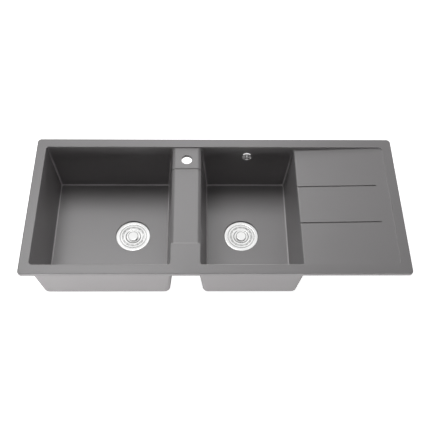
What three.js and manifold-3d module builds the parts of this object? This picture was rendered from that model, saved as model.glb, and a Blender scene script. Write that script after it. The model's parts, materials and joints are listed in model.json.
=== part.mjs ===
// A double bowl kitchen sink for setting into a worktop: a moulded composite body with a large
// and a smaller bowl, a tap ledge and overflow saddle between them, and a sloping drainer. Each
// bowl has a strainer waste, and the smaller bowl has an overflow in its back wall.
import * as THREE from 'three';
import { mergeVertices } from 'three/addons/utils/BufferGeometryUtils.js';
import Module from 'manifold-3d';

const wasm = await Module();
wasm.setup();

// Driving dimensions, in millimetres and degrees. X runs along the sink, Y to the back, Z up.
// Z = 0 is the face that the rim lies on, and X = Y = 0 is the middle of the rim's outline.

// Moulded body
const rimLength = 1160;
const rimWidth = 500;
const rimHeight = 10;
const rimCorner = 12;
const rimEdgeRound = 3;
const sideBorder = 30.5;
const frontBorder = 33;
const largeBowlLength = 413.5;
const bridgeWidth = 90;
const smallBowlLength = 308;
const bowlDepth = 195;
const sideDraft = 5.5;
const endDraft = 4.5;
const bowlTopCorner = 10;
const bowlFootCorner = 7;
const bowlFloorFillet = 6;
const bowlEdgeRound = 2;
const sideWall = 12.5;
const drainerSideWall = 17;
const endWall = 8;
const floorThickness = 10;
const outerCorner = 19;
const outerFillet = 11;

// Bridge between the bowls
const bridgeShoulder = 6;
const padShoulder = 2;
const bridgeThickness = 7;
const ledgeDrop = 4;
const saddleDrop = 7;
const tapLedgeWidth = 83;
const frontPadWidth = 75;
const saddleStepLength = 3;
const tapHoleRadius = 17.5;
const tapHoleFromBack = 48;

// Drainer
const drainerDeepDrop = 12;
const drainerShallowDrop = 3;
const drainerShoulder = 5;
const drainerCorner = 14;
const drainerFillet = 2.5;
const drainerThickness = 9;
const grooveWidth = 4.5;
const grooveDepth = 2.4;
const grooveSpacing = 135;
const grooveEndMargin = 40;

// Strainer waste; the heights here are measured down from the bowl floor
const largeWasteOffsetX = 71.75;
const smallWasteOffsetX = -19;
const wasteOffsetY = -5;
const seatDepth = 4;
const seatClearance = 1.6;
const wasteHoleRadius = 45;
const flangeRadius = 56.5;
const flangeRoll = 2;
const sealThickness = 1.3;
const pressedSheet = 1.2;
const mouthRadius = 43.6;
const mouthDepth = 3.1;
const sheetBend = 1;
const cupRadius = 40.5;
const cupDepth = 31;
const cupFillet = 4;
const wellRadius = 13;
const wellDepth = 6;
const cupHoleRadius = 4.5;
const cupHoleCircle = 25;
const cupHoleCount = 10;
const lowerSealThickness = 2.5;
const sealMargin = 1.2;
const wasteBodyWall = 3;
const wasteBodyRadius = 43.5;
const wasteFlangeThickness = 4;
const wasteConeHeight = 14;
const footBore = 22.5;
const footWall = 5;
const footLength = 6.8;
const tailWasherThickness = 1.5;
const tailBore = 20.5;
const tailWall = 3.4;
const tailFlangeThickness = 2.8;
const tailLength = 22;
const couplingWall = 4.4;
const couplingLip = 2.5;
const couplingEngagement = 5;
const couplingSides = 12;
const hubRadius = 9.5;
const hubHeight = 16;
const spokeThickness = 3;
const spokeCount = 4;
const boltRadius = 3.9;
const boltHeadRadius = 7.5;
const boltHeadHeight = 3.1;
const boltCrownRadius = 4.5;
const insertRadius = 6.6;
const insertLength = 10;

// Lift-out strainer with its knob and plug
const strainerSheet = 0.9;
const strainerLipRadius = 42.6;
const troughOuterRadius = 36.8;
const troughInnerRadius = 32.4;
const troughDepth = 4.4;
const plateauDrop = 0.6;
const dishRadius = 25.5;
const dishSlope = 3;
const dishDepth = 2.4;
const strainerBend = 0.4;
const strainerSlotCount = 12;
const strainerSlotLength = 10.4;
const strainerSlotWidth = 2.8;
const spacerRadius = 6;
const plugRadius = 33;
const plugLift = 6;
const plugThickness = 2.3;
const plugSkirtWidth = 2.6;
const plugRound = 1.5;
const knobRadius = 17;
const knobFootRadius = 13;
const knobRise = 0.6;
const knobSide = 1.2;
const knobCrown = 1.6;
const knobDome = 0.3;
const knobFlatRadius = 9.4;
const stemRadius = 3;
const plugNutRadius = 6.5;
const plugNutHeight = 3.6;
const plugNutSides = 6;

// Overflow in the small bowl's back wall; its own Z axis points into the bowl
const overflowDepth = 45;
const overflowOffsetX = -1;
const overflowHoleRadius = 12.5;
const rosetteRadius = 17.5;
const rosetteRise = 4;
const rosetteSheet = 1.2;
const rosetteHoleRadius = 2.6;
const rosetteHoleCircle = 7.6;
const rosetteShoulderRadius = 15;
const rosetteCrownRadius = 12.3;
const rosetteCollarDepth = 2.4;
const rosetteDish = 5.2;
const rosetteDishDepth = 1.2;
const rosetteHoleCount = 4;
const overflowScrewRadius = 2.4;
const overflowScrewHead = 4.2;
const overflowGasketThickness = 2;
const elbowRadius = 19.5;
const elbowWall = 2.6;
const elbowDepth = 14;
const elbowHubRadius = 5.6;
const overflowInsertRadius = 4;
const overflowInsertLength = 7;
const spigotRadius = 6.6;
const spigotBore = 4.8;
const spigotLength = 22;
const inletFlangeRadius = 7.5;
const inletFlangeThickness = 2;

// Fits
const seatGap = 0.3;
const holeClearance = 0.4;
const edgeChamfer = 0.6;

// Fineness of the curves
const cornerSteps = 4;
const filletSteps = 3;
const bendSteps = 2;
const turnSteps = 24;
const coarseTurnSteps = 18;
const smallTurnSteps = 8;
const spigotTurnSteps = 12;

const reach = 5;
const degrees = Math.PI / 180;
const sideSlope = Math.tan(sideDraft * degrees);
const endSlope = Math.tan(endDraft * degrees);
const floorZ = rimHeight - bowlDepth;
const halfOpening = rimWidth / 2 - frontBorder;

// Plan boxes of the openings, measured at the top of the rim
const largeBowl = openingBox(-rimLength / 2 + sideBorder, largeBowlLength);
const smallBowl = openingBox(largeBowl.x1 + bridgeWidth, smallBowlLength);
const drainer = openingBox(smallBowl.x1, rimLength / 2 - sideBorder - smallBowl.x1);

function openingBox(x0, length) {
  return { x0, x1: x0 + length, y0: -halfOpening, y1: halfOpening };
}

// A box grown by a margin on its left, its right and at both ends.
function grown(box, left, right = left, ends = left) {
  return { x0: box.x0 - left, x1: box.x1 + right, y0: box.y0 - ends, y1: box.y1 + ends };
}

function middle(box) {
  return (box.x0 + box.x1) / 2;
}

// ---- Solids ----

function signedVolume(position, index) {
  const a = new THREE.Vector3();
  const b = new THREE.Vector3();
  const c = new THREE.Vector3();
  let sum = 0;
  for (let i = 0; i < index.length; i += 3) {
    a.fromBufferAttribute(position, index[i]);
    b.fromBufferAttribute(position, index[i + 1]);
    c.fromBufferAttribute(position, index[i + 2]);
    sum += a.dot(b.cross(c));
  }
  return sum;
}

// A closed geometry as a solid, turned right side out if its faces point inwards.
function solid(geometry) {
  const bare = geometry.clone();
  bare.deleteAttribute('normal');
  bare.deleteAttribute('uv');
  const merged = mergeVertices(bare, 1e-4);
  const index = Array.from(merged.index.array);
  const triangles = [];
  for (let i = 0; i < index.length; i += 3) {
    const [a, b, c] = index.slice(i, i + 3);
    if (a !== b && b !== c && c !== a) triangles.push(a, b, c);
  }
  if (signedVolume(merged.attributes.position, triangles) < 0) triangles.reverse();
  return new wasm.Manifold(new wasm.Mesh({
    numProp: 3,
    vertProperties: new Float32Array(merged.attributes.position.array),
    triVerts: new Uint32Array(triangles),
  }));
}

function union(solids) {
  return solids.reduce((whole, next) => whole.add(next));
}

function cut(body, tools) {
  return tools.reduce((left, tool) => left.subtract(tool), body);
}

function geometryOf(shape) {
  const mesh = shape.getMesh();
  const geometry = new THREE.BufferGeometry();
  geometry.setAttribute('position', new THREE.BufferAttribute(mesh.vertProperties, 3));
  geometry.setIndex(new THREE.BufferAttribute(mesh.triVerts, 1));
  geometry.computeVertexNormals();
  return geometry;
}

// A ring of points round a box with round corners, anticlockwise from above.
function roundedRing(box, radius, heightAt) {
  const points = [];
  for (let quarter = 0; quarter < 4; quarter += 1) {
    const right = quarter === 0 || quarter === 3;
    const centreX = right ? box.x1 - radius : box.x0 + radius;
    const centreY = quarter < 2 ? box.y1 - radius : box.y0 + radius;
    for (let step = 0; step <= cornerSteps; step += 1) {
      const angle = (quarter + step / cornerSteps) * Math.PI / 2;
      const x = centreX + radius * Math.cos(angle);
      const y = centreY + radius * Math.sin(angle);
      points.push([x, y, heightAt(x, y)]);
    }
  }
  return points;
}

// A solid through rings of equal count, from the lowest ring to the highest.
function loft(rings) {
  const count = rings[0].length;
  const points = rings.flat();
  const faces = [];
  for (let level = 0; level + 1 < rings.length; level += 1) {
    for (let i = 0; i < count; i += 1) {
      const low = level * count + i;
      const lowNext = level * count + (i + 1) % count;
      faces.push(low, lowNext, lowNext + count, low, lowNext + count, low + count);
    }
  }
  const last = (rings.length - 1) * count;
  for (let i = 1; i + 1 < count; i += 1) {
    faces.push(0, i + 1, i, last, last + i, last + i + 1);
  }
  const geometry = new THREE.BufferGeometry();
  geometry.setAttribute('position', new THREE.Float32BufferAttribute(points.flat(), 3));
  geometry.setIndex(faces);
  return solid(geometry);
}

// The space over a surface: its floor follows heightAt, its top is flat.
function spaceOver(xs, ys, heightAt, top) {
  const points = [];
  for (const floor of [true, false]) {
    for (const y of ys) {
      for (const x of xs) points.push([x, y, floor ? heightAt(x, y) : top]);
    }
  }
  const columns = xs.length;
  const rows = ys.length;
  const above = columns * rows;
  const faces = [];
  const quad = (a, b, c, d) => faces.push(a, b, c, a, c, d);
  for (let row = 0; row + 1 < rows; row += 1) {
    for (let column = 0; column + 1 < columns; column += 1) {
      const a = row * columns + column;
      quad(a, a + columns, a + columns + 1, a + 1);
      quad(above + a, above + a + 1, above + a + columns + 1, above + a + columns);
    }
  }
  for (let column = 0; column + 1 < columns; column += 1) {
    const back = (rows - 1) * columns + column;
    quad(column, column + 1, above + column + 1, above + column);
    quad(back + 1, back, above + back, above + back + 1);
  }
  for (let row = 0; row + 1 < rows; row += 1) {
    const left = row * columns;
    const right = left + columns - 1;
    quad(left + columns, left, above + left, above + left + columns);
    quad(right, right + columns, above + right + columns, above + right);
  }
  const geometry = new THREE.BufferGeometry();
  geometry.setAttribute('position', new THREE.Float32BufferAttribute(points.flat(), 3));
  geometry.setIndex(faces);
  return solid(geometry);
}

// A closed outline of [radius, height] pairs turned about the Z axis.
function turned(outline, steps = turnSteps) {
  const profile = [...outline, outline[0]].map(([radius, height]) => new THREE.Vector2(radius, height));
  return solid(new THREE.LatheGeometry(profile, steps).rotateX(Math.PI / 2));
}

function rod(radius, low, high, steps = smallTurnSteps) {
  return turned([[0, low], [radius, low], [radius, high], [0, high]], steps);
}

function ring(inner, outer, low, high, steps = turnSteps) {
  return turned([[inner, low], [outer, low], [outer, high], [inner, high]], steps);
}

// Copies of one solid spread evenly round the Z axis.
function spread(shape, count) {
  const copies = [];
  for (let i = 0; i < count; i += 1) copies.push(shape.rotate([0, 0, 360 * i / count]));
  return copies;
}

function block(x0, x1, y0, y1, z0, z1) {
  const box = new THREE.BoxGeometry(x1 - x0, y1 - y0, z1 - z0);
  return solid(box.translate((x0 + x1) / 2, (y0 + y1) / 2, (z0 + z1) / 2));
}

// A quarter arc from the first angle to the last, in degrees, as [radius, height] pairs.
function arc(centreRadius, centreHeight, radius, from, to, steps = bendSteps) {
  const points = [];
  for (let i = 0; i <= steps; i += 1) {
    const angle = (from + (to - from) * i / steps) * degrees;
    points.push([centreRadius + radius * Math.cos(angle), centreHeight + radius * Math.sin(angle)]);
  }
  return points;
}

// ---- Moulded body ----

function cornerAt(depth) {
  return bowlTopCorner + (bowlFootCorner - bowlTopCorner) * depth / bowlDepth;
}

// Rings of a bowl from its foot up, grown by a wall on each side: no walls give the inside.
// The sides and the ends lean by their own drafts and run into the floor through a fillet.
function bowlRings(opening, walls, depth, fillet) {
  const angle = sideDraft * degrees;
  const filletCentre = (slope) => (depth - fillet) * slope + fillet * Math.hypot(1, slope);
  const rings = [];
  for (let i = 0; i <= filletSteps; i += 1) {
    const turn = (Math.PI / 2 - angle) * i / filletSteps;
    const side = filletCentre(sideSlope) - fillet * Math.sin(turn);
    const end = filletCentre(endSlope) - fillet * Math.sin(turn);
    const down = depth - fillet + fillet * Math.cos(turn);
    const radius = Math.max(cornerAt(down) + walls.corner - side + down * sideSlope, 1);
    const box = grown(opening, walls.left - side, walls.right - side, walls.ends - end);
    rings.push(roundedRing(box, radius, () => rimHeight - down));
  }
  return rings;
}

function bowlSpace(opening) {
  const noWalls = { left: 0, right: 0, ends: 0, corner: 0 };
  const rings = bowlRings(opening, noWalls, bowlDepth, bowlFloorFillet);
  for (let i = filletSteps; i >= 0; i -= 1) {
    const turn = Math.PI / 2 * i / filletSteps;
    const down = bowlEdgeRound * (1 - Math.cos(turn));
    const round = bowlEdgeRound * (1 - Math.sin(turn));
    const side = round - down * sideSlope;
    const box = grown(opening, side, side, round - down * endSlope);
    rings.push(roundedRing(box, bowlTopCorner + side, () => rimHeight - down));
  }
  const top = grown(opening, bowlEdgeRound);
  rings.push(roundedRing(top, bowlTopCorner + bowlEdgeRound, () => rimHeight + reach));
  return loft(rings);
}

function bowlShell(opening, leftWall, rightWall) {
  const walls = { left: leftWall, right: rightWall, ends: endWall, corner: outerCorner - bowlTopCorner };
  const rings = bowlRings(opening, walls, bowlDepth + floorThickness, outerFillet);
  const down = rimHeight / 2;
  const lean = down * sideSlope;
  const top = grown(opening, leftWall - lean, rightWall - lean, endWall - down * endSlope);
  rings.push(roundedRing(top, cornerAt(down) + walls.corner, () => rimHeight - down));
  return loft(rings);
}

function rimPlate() {
  const outline = { x0: -rimLength / 2, x1: rimLength / 2, y0: -rimWidth / 2, y1: rimWidth / 2 };
  const rings = [roundedRing(outline, rimCorner, () => 0)];
  for (let i = 0; i <= filletSteps; i += 1) {
    const turn = Math.PI / 2 * i / filletSteps;
    const inset = rimEdgeRound * (1 - Math.cos(turn));
    const height = rimHeight - rimEdgeRound * (1 - Math.sin(turn));
    rings.push(roundedRing(grown(outline, -inset), rimCorner - inset, () => height));
  }
  return loft(rings);
}

// Height of a shoulder's round edge, at a distance from the wall that it falls to.
function shoulderFall(distance, radius) {
  if (distance >= radius) return 0;
  if (distance <= 0) return radius;
  return radius - Math.sqrt(radius ** 2 - (radius - distance) ** 2);
}

function shoulderDistances(radius) {
  const distances = [];
  for (let i = 0; i <= cornerSteps; i += 1) {
    distances.push(radius * (1 - Math.cos(Math.PI / 2 * i / cornerSteps)));
  }
  return distances;
}

function smoothShare(distance) {
  const share = Math.min(Math.max(distance / saddleStepLength, 0), 1);
  return (1 - Math.cos(Math.PI * share)) / 2;
}

// The tap ledge at the back and the pad at the front stand a step above the saddle.
function bridgeDrop(y) {
  const intoSaddle = Math.min(halfOpening - tapLedgeWidth - y, y + halfOpening - frontPadWidth);
  return ledgeDrop + (saddleDrop - ledgeDrop) * smoothShare(intoSaddle);
}

// The pad's long edges are sharper than the saddle's and the ledge's.
function bridgeShoulderAt(y) {
  return padShoulder + (bridgeShoulder - padShoulder) * smoothShare(y + halfOpening - frontPadWidth);
}

function bridgeSpace() {
  const lean = (saddleDrop + bridgeShoulder) * sideSlope;
  const left = largeBowl.x1 - lean;
  const right = smallBowl.x0 + lean;
  const away = shoulderDistances(bridgeShoulder);
  const rightEdge = away.map((d) => right - d).reverse();
  const xs = [left - reach, ...away.map((d) => left + d), ...rightEdge, right + reach];
  const ys = [-halfOpening];
  for (const edge of [-halfOpening + frontPadWidth, halfOpening - tapLedgeWidth - saddleStepLength]) {
    for (let i = 0; i <= filletSteps; i += 1) ys.push(edge + saddleStepLength * i / filletSteps);
  }
  ys.push(halfOpening);
  const heightAt = (x, y) => {
    const distance = Math.min(x - left, right - x);
    return rimHeight - bridgeDrop(y) - shoulderFall(distance, bridgeShoulderAt(y));
  };
  return spaceOver(xs, ys, heightAt, rimHeight + reach);
}

function bridgeUnderside() {
  const low = rimHeight - saddleDrop - bridgeThickness;
  const y = halfOpening + endWall;
  return block(largeBowl.x1, smallBowl.x0, -y, y, low, rimHeight / 2);
}

function drainerHeight(x) {
  const share = (x - drainer.x0) / (drainer.x1 - drainer.x0);
  return rimHeight - drainerDeepDrop + (drainerDeepDrop - drainerShallowDrop) * share;
}

function drainerSpace() {
  const box = { ...drainer, x0: drainer.x0 - drainerCorner - drainerShoulder };
  const rings = [];
  for (let i = 0; i <= filletSteps; i += 1) {
    const turn = Math.PI / 2 * i / filletSteps;
    const inset = drainerFillet * (1 - Math.sin(turn));
    const lift = drainerFillet * (1 - Math.cos(turn));
    const radius = drainerCorner - inset;
    rings.push(roundedRing(grown(box, -inset), radius, (x) => drainerHeight(x) + lift));
  }
  rings.push(roundedRing(box, drainerCorner, () => rimHeight + reach));
  return loft(rings);
}

function drainerShoulderSpace() {
  const wallX = smallBowl.x1 - (drainerDeepDrop + drainerShoulder) * sideSlope;
  const y = halfOpening - drainerFillet;
  const xs = [wallX - reach, ...shoulderDistances(drainerShoulder).map((d) => wallX + d)];
  const heightAt = (x) => drainerHeight(x) - shoulderFall(x - wallX, drainerShoulder);
  return spaceOver(xs, [-y, y], heightAt, rimHeight);
}

function drainerPan() {
  const wall = drainerThickness;
  const outside = grown(drainer, -wall / 2, wall, wall);
  const radius = drainerCorner + wall;
  const foot = grown(outside, -wall / 2);
  return loft([
    roundedRing(foot, radius - wall / 2, (x) => drainerHeight(x) - wall),
    roundedRing(outside, radius, (x) => drainerHeight(x) - wall / 2),
    roundedRing(outside, radius, () => rimHeight / 2),
  ]);
}

// A groove along the drainer, open to the bowl, with a round end near the border.
function drainerGroove(y) {
  const radius = (grooveWidth ** 2 / 4 + grooveDepth ** 2) / (2 * grooveDepth);
  const start = drainer.x0 - drainerShoulder;
  const end = drainer.x1 - grooveEndMargin;
  const lift = radius - grooveDepth;
  const fall = Math.atan2(drainerHeight(end) - drainerHeight(start), end - start);
  const length = (end - start) / Math.cos(fall);
  const channel = new THREE.CylinderGeometry(radius, radius, length, smallTurnSteps)
    .rotateZ(Math.PI / 2).rotateY(-fall)
    .translate((start + end) / 2, y, (drainerHeight(start) + drainerHeight(end)) / 2 + lift);
  const tip = new THREE.SphereGeometry(radius, smallTurnSteps, smallTurnSteps)
    .translate(end, y, drainerHeight(end) + lift);
  return solid(channel).add(solid(tip));
}

function tapHole() {
  const y = halfOpening - tapHoleFromBack;
  const low = rimHeight - saddleDrop - bridgeThickness - reach;
  return rod(tapHoleRadius, low, rimHeight + reach, turnSteps).translate([bridgeMiddle(), y, 0]);
}

function bridgeMiddle() {
  return (largeBowl.x1 + smallBowl.x0) / 2;
}

function wastePlace(opening, offsetX) {
  return [middle(opening) + offsetX, wasteOffsetY, floorZ];
}

// The stepped hole that takes a waste's flange and cup.
function wasteHole(place) {
  const seat = rod(flangeRadius + seatClearance, -seatDepth, reach, turnSteps);
  const hole = rod(wasteHoleRadius, -floorThickness - reach, reach, turnSteps);
  return seat.add(hole).translate(place);
}

function sinkBody() {
  const moulding = union([
    rimPlate(), bowlShell(largeBowl, sideWall, sideWall), bowlShell(smallBowl, sideWall, drainerSideWall),
    bridgeUnderside(), drainerPan(),
  ]);
  const overflowHole = rod(overflowHoleRadius, -endWall - reach, reach, turnSteps / 2)
    .transform(overflowMatrix().toArray());
  return cut(moulding, [
    bowlSpace(largeBowl), bowlSpace(smallBowl), bridgeSpace(), drainerSpace(), drainerShoulderSpace(),
    drainerGroove(grooveSpacing / 2), drainerGroove(-grooveSpacing / 2), tapHole(),
    wasteHole(largeWaste), wasteHole(smallWaste), overflowHole,
  ]);
}

// ---- Strainer waste, with the bowl floor at Z = 0 ----

const flangeUnder = -seatDepth + seatGap + sealThickness + seatGap;
const flangeTop = flangeUnder + pressedSheet;
const lipSeat = flangeTop - mouthDepth;
const wellZ = -cupDepth - wellDepth;
const bodyTop = -floorThickness - seatGap - lowerSealThickness - seatGap;
const bodyFlangeFoot = bodyTop - wasteFlangeThickness;
const hubTop = wellZ - pressedSheet - seatGap;
const hubFoot = hubTop - hubHeight;
const coneTop = -cupDepth - pressedSheet - wasteBodyWall;
const coneFoot = coneTop - wasteConeHeight;
const footRadius = footBore + footWall;
const bodyFoot = coneFoot - footLength;
const washerTop = bodyFoot - seatGap;
const tailTop = washerTop - tailWasherThickness - seatGap;
const tailFoot = tailTop - tailLength;
const inletZ = bodyFlangeFoot - seatGap - inletFlangeRadius;

// Flange, mouth, cup and centre well pressed from one sheet, with drain holes in the floor.
function wasteFlange() {
  const sheet = pressedSheet;
  const bend = sheetBend;
  const boltHole = boltRadius + holeClearance;
  const inside = [
    [flangeRadius - bend, flangeTop], [mouthRadius + bend, flangeTop], [mouthRadius, flangeTop - bend],
    [mouthRadius, lipSeat], [cupRadius, lipSeat],
    ...arc(cupRadius - cupFillet, -cupDepth + cupFillet, cupFillet, 0, -90),
    [wellRadius + bend, -cupDepth], [wellRadius, -cupDepth - bend], [wellRadius, wellZ], [boltHole, wellZ],
  ];
  const outside = [
    [boltHole, wellZ - sheet], [wellRadius + sheet, wellZ - sheet],
    [wellRadius + sheet, -cupDepth - sheet],
    ...arc(cupRadius - cupFillet, -cupDepth + cupFillet, cupFillet + sheet, -90, 0),
    [cupRadius + sheet, lipSeat - sheet], [mouthRadius + sheet, lipSeat - sheet + edgeChamfer],
    [mouthRadius + sheet, flangeUnder], [flangeRadius - sheet, flangeUnder],
    [flangeRadius - sheet, flangeTop - flangeRoll], [flangeRadius, flangeTop - flangeRoll],
    [flangeRadius, flangeTop - edgeChamfer],
  ];
  const drain = rod(cupHoleRadius, -cupDepth - 2 * sheet, -cupDepth + sheet).translate([cupHoleCircle, 0, 0]);
  return cut(turned([...inside, ...outside]), spread(drain, cupHoleCount));
}

function flangeSeal() {
  const low = -seatDepth + seatGap;
  const inner = mouthRadius + pressedSheet + sealMargin;
  return ring(inner, flangeRadius - pressedSheet - edgeChamfer, low, low + sealThickness);
}

function lowerSeal() {
  const top = -floorThickness - seatGap;
  return ring(wasteHoleRadius + sealMargin, flangeRadius - 2 * sealMargin, top - lowerSealThickness, top);
}

// Bell under the floor with a threaded foot; a hub on spokes takes the clamping bolt. The small
// bowl's bell has a hole in its back for the overflow's inlet.
function wasteBody(withInlet) {
  const wall = wasteBodyWall;
  const outer = turned([
    [0, bodyFoot], [footRadius, bodyFoot], [footRadius, coneFoot - sheetBend],
    [wasteBodyRadius + wall, coneTop - sheetBend], [wasteBodyRadius + wall, bodyFlangeFoot],
    [flangeRadius - sealMargin, bodyFlangeFoot], [flangeRadius - sealMargin, bodyTop], [0, bodyTop],
  ]);
  const inner = turned([
    [0, bodyFoot - reach], [footBore, bodyFoot - reach], [footBore, coneFoot],
    [wasteBodyRadius, coneTop], [wasteBodyRadius, bodyTop + reach], [0, bodyTop + reach],
  ]);
  const half = spokeThickness / 2;
  const spoke = block(0, wasteBodyRadius, -half, half, hubFoot, hubTop - wall);
  const centre = union([rod(hubRadius, hubFoot, hubTop, turnSteps / 2), ...spread(spoke, spokeCount)]);
  const bell = cut(outer, [inner]).add(centre.intersect(outer));
  const insertHoleTop = hubFoot + insertLength + seatGap;
  const holes = [
    rod(boltRadius + holeClearance, hubFoot - reach, hubTop + reach),
    rod(insertRadius + seatGap, hubFoot - reach, insertHoleTop, turnSteps / 2),
  ];
  if (withInlet) holes.push(inletRod(spigotRadius + seatGap, wasteBodyRadius - reach, flangeRadius));
  return cut(bell, holes);
}

// A round bar through the bell's back wall at the overflow inlet's height.
function inletRod(radius, start, end) {
  return rod(radius, start, end, spigotTurnSteps).rotate([-90, 0, 0]).translate([0, 0, inletZ]);
}

// The overflow hose's spigot, pushed through the bell's wall up to its flange.
function overflowInlet() {
  const flangeStart = wasteBodyRadius + wasteBodyWall + seatGap;
  const start = wasteBodyRadius - sheetBend;
  const end = wasteBodyRadius + wasteBodyWall + spigotLength;
  const pipe = inletRod(spigotRadius, start, end);
  const flange = inletRod(inletFlangeRadius, flangeStart, flangeStart + inletFlangeThickness);
  return cut(pipe.add(flange), [inletRod(spigotBore, start - reach, end + reach)]);
}

function tailWasher() {
  const outer = footRadius - edgeChamfer;
  return ring(tailBore + seatGap, outer, washerTop - tailWasherThickness, washerTop, coarseTurnSteps);
}

// A short pipe whose flange is drawn up against the bell's foot.
function tailPipe() {
  const outer = tailBore + tailWall;
  const flangeFoot = tailTop - tailFlangeThickness;
  return turned([
    [tailBore, tailFoot], [outer - edgeChamfer, tailFoot], [outer, tailFoot + edgeChamfer],
    [outer, flangeFoot], [footRadius - seatGap, flangeFoot], [footRadius - seatGap, tailTop],
    [tailBore, tailTop],
  ], coarseTurnSteps);
}

// The nut runs on the bell's foot, and its lip lifts the tail pipe's flange.
function couplingNut() {
  const radius = footRadius + seatGap + couplingWall;
  const lipTop = tailTop - tailFlangeThickness - seatGap;
  const top = bodyFoot + couplingEngagement;
  const nut = rod(radius, lipTop - couplingLip, top, couplingSides);
  return cut(nut, [
    rod(footRadius + seatGap, lipTop, top + reach, turnSteps),
    rod(tailBore + tailWall + seatGap, lipTop - couplingLip - reach, lipTop + reach, turnSteps),
  ]);
}

function centreBolt() {
  const under = wellZ + seatGap;
  const top = under + boltHeadHeight;
  const tip = hubFoot - 2 * seatGap - sheetBend;
  return turned([
    [0, tip], [boltRadius - edgeChamfer, tip], [boltRadius, tip + edgeChamfer], [boltRadius, under],
    [boltHeadRadius, under], [boltHeadRadius, under + boltHeadHeight / 2],
    [boltCrownRadius, top], [0, top],
  ], turnSteps / 2);
}

function threadInsert() {
  return ring(boltRadius + seatGap, insertRadius, hubFoot + seatGap, hubFoot + insertLength, turnSteps / 2);
}

// ---- Lift-out strainer ----

const lipUnder = lipSeat + seatGap;
const lipTop = lipUnder + strainerSheet;
const troughFloor = lipTop - troughDepth;
const plateau = lipTop - plateauDrop;
const dishFloor = plateau - dishDepth;
const plugTop = -cupDepth + plugLift;
const plugUnder = plugTop - plugThickness;
const plugNutTop = plugUnder - seatGap;
const plugNutFoot = plugNutTop - plugNutHeight;
const stemTip = plugNutFoot - edgeChamfer;
const stemHole = stemRadius + holeClearance;

// One pressed sheet: a lip, a slotted trough, a flat ring and a shallow dish for the knob.
function strainer() {
  const sheet = strainerSheet;
  const bend = sheetBend;
  const lean = strainerBend;
  const top = [
    [strainerLipRadius, lipUnder], [strainerLipRadius, lipTop], [troughOuterRadius + bend, lipTop],
    [troughOuterRadius, lipTop - bend], [troughOuterRadius - lean, troughFloor],
    [troughInnerRadius + lean, troughFloor], [troughInnerRadius, plateau - bend],
    [troughInnerRadius - bend, plateau], [dishRadius, plateau], [dishRadius - dishSlope, dishFloor],
    [stemHole, dishFloor],
  ];
  const under = [
    [stemHole, dishFloor - sheet], [dishRadius - dishSlope + lean, dishFloor - sheet],
    [dishRadius + lean, plateau - sheet], [troughInnerRadius - sheet, plateau - sheet],
    [troughInnerRadius - sheet + lean, troughFloor - sheet],
    [troughOuterRadius + sheet - lean, troughFloor - sheet], [troughOuterRadius + sheet, lipUnder - bend],
    [troughOuterRadius + sheet + bend, lipUnder],
  ];
  const slotMiddle = (troughOuterRadius + troughInnerRadius) / 2;
  const halfWidth = strainerSlotWidth / 2;
  const halfLength = strainerSlotLength / 2;
  const slot = block(
    slotMiddle - halfWidth, slotMiddle + halfWidth, -halfLength, halfLength,
    troughFloor - 2 * sheet, troughFloor + sheet,
  );
  return cut(turned([...top, ...under]), spread(slot, strainerSlotCount));
}

// A tube on the stem keeps the plug at its depth under the strainer.
function spacer() {
  const top = dishFloor - strainerSheet - seatGap;
  return ring(stemRadius + seatGap, spacerRadius, plugTop + seatGap, top, turnSteps / 2);
}

// A soft bell whose skirt closes on the cup's floor outside the drain holes.
function strainerPlug() {
  const skirtFoot = -cupDepth + seatGap;
  const skirtInner = plugRadius - plugSkirtWidth;
  return turned([
    [stemHole, plugTop], [plugRadius - plugRound, plugTop], [plugRadius, plugTop - plugRound],
    [plugRadius, skirtFoot], [skirtInner + sheetBend, skirtFoot], [skirtInner, plugUnder],
    [stemHole, plugUnder],
  ], coarseTurnSteps);
}

// Knob and stem turned in one piece; the side is undercut, so that two fingers hold it.
function knob() {
  const top = knobRise;
  const foot = dishFloor + seatGap;
  const rim = top - knobCrown;
  return turned([
    [0, stemTip], [stemRadius - edgeChamfer, stemTip], [stemRadius, stemTip + edgeChamfer],
    [stemRadius, foot], [knobFootRadius, foot], [knobRadius, rim - knobSide], [knobRadius, rim],
    [knobRadius - knobCrown, top - edgeChamfer], [knobFlatRadius, top], [0, top + knobDome],
  ], coarseTurnSteps);
}

function plugNut() {
  const bore = rod(stemRadius + seatGap, plugNutFoot - reach, plugNutTop + reach, turnSteps / 2);
  return cut(rod(plugNutRadius, plugNutFoot, plugNutTop, plugNutSides), [bore]);
}

// ---- Overflow, with the wall's inner face at Z = 0 and Z pointing into the bowl ----

const overflowZ = rimHeight - overflowDepth;
const gasketTop = -endWall - seatGap;
const elbowTop = gasketTop - overflowGasketThickness - seatGap;
const elbowFoot = elbowTop - elbowDepth;
const rosetteFoot = seatGap;

function overflowPlace() {
  const y = halfOpening - overflowDepth * endSlope;
  return new THREE.Vector3(middle(smallBowl) + overflowOffsetX, y, overflowZ);
}

function overflowMatrix() {
  const turn = new THREE.Matrix4().makeRotationX((90 - endDraft) * degrees);
  return turn.setPosition(overflowPlace());
}

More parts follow.
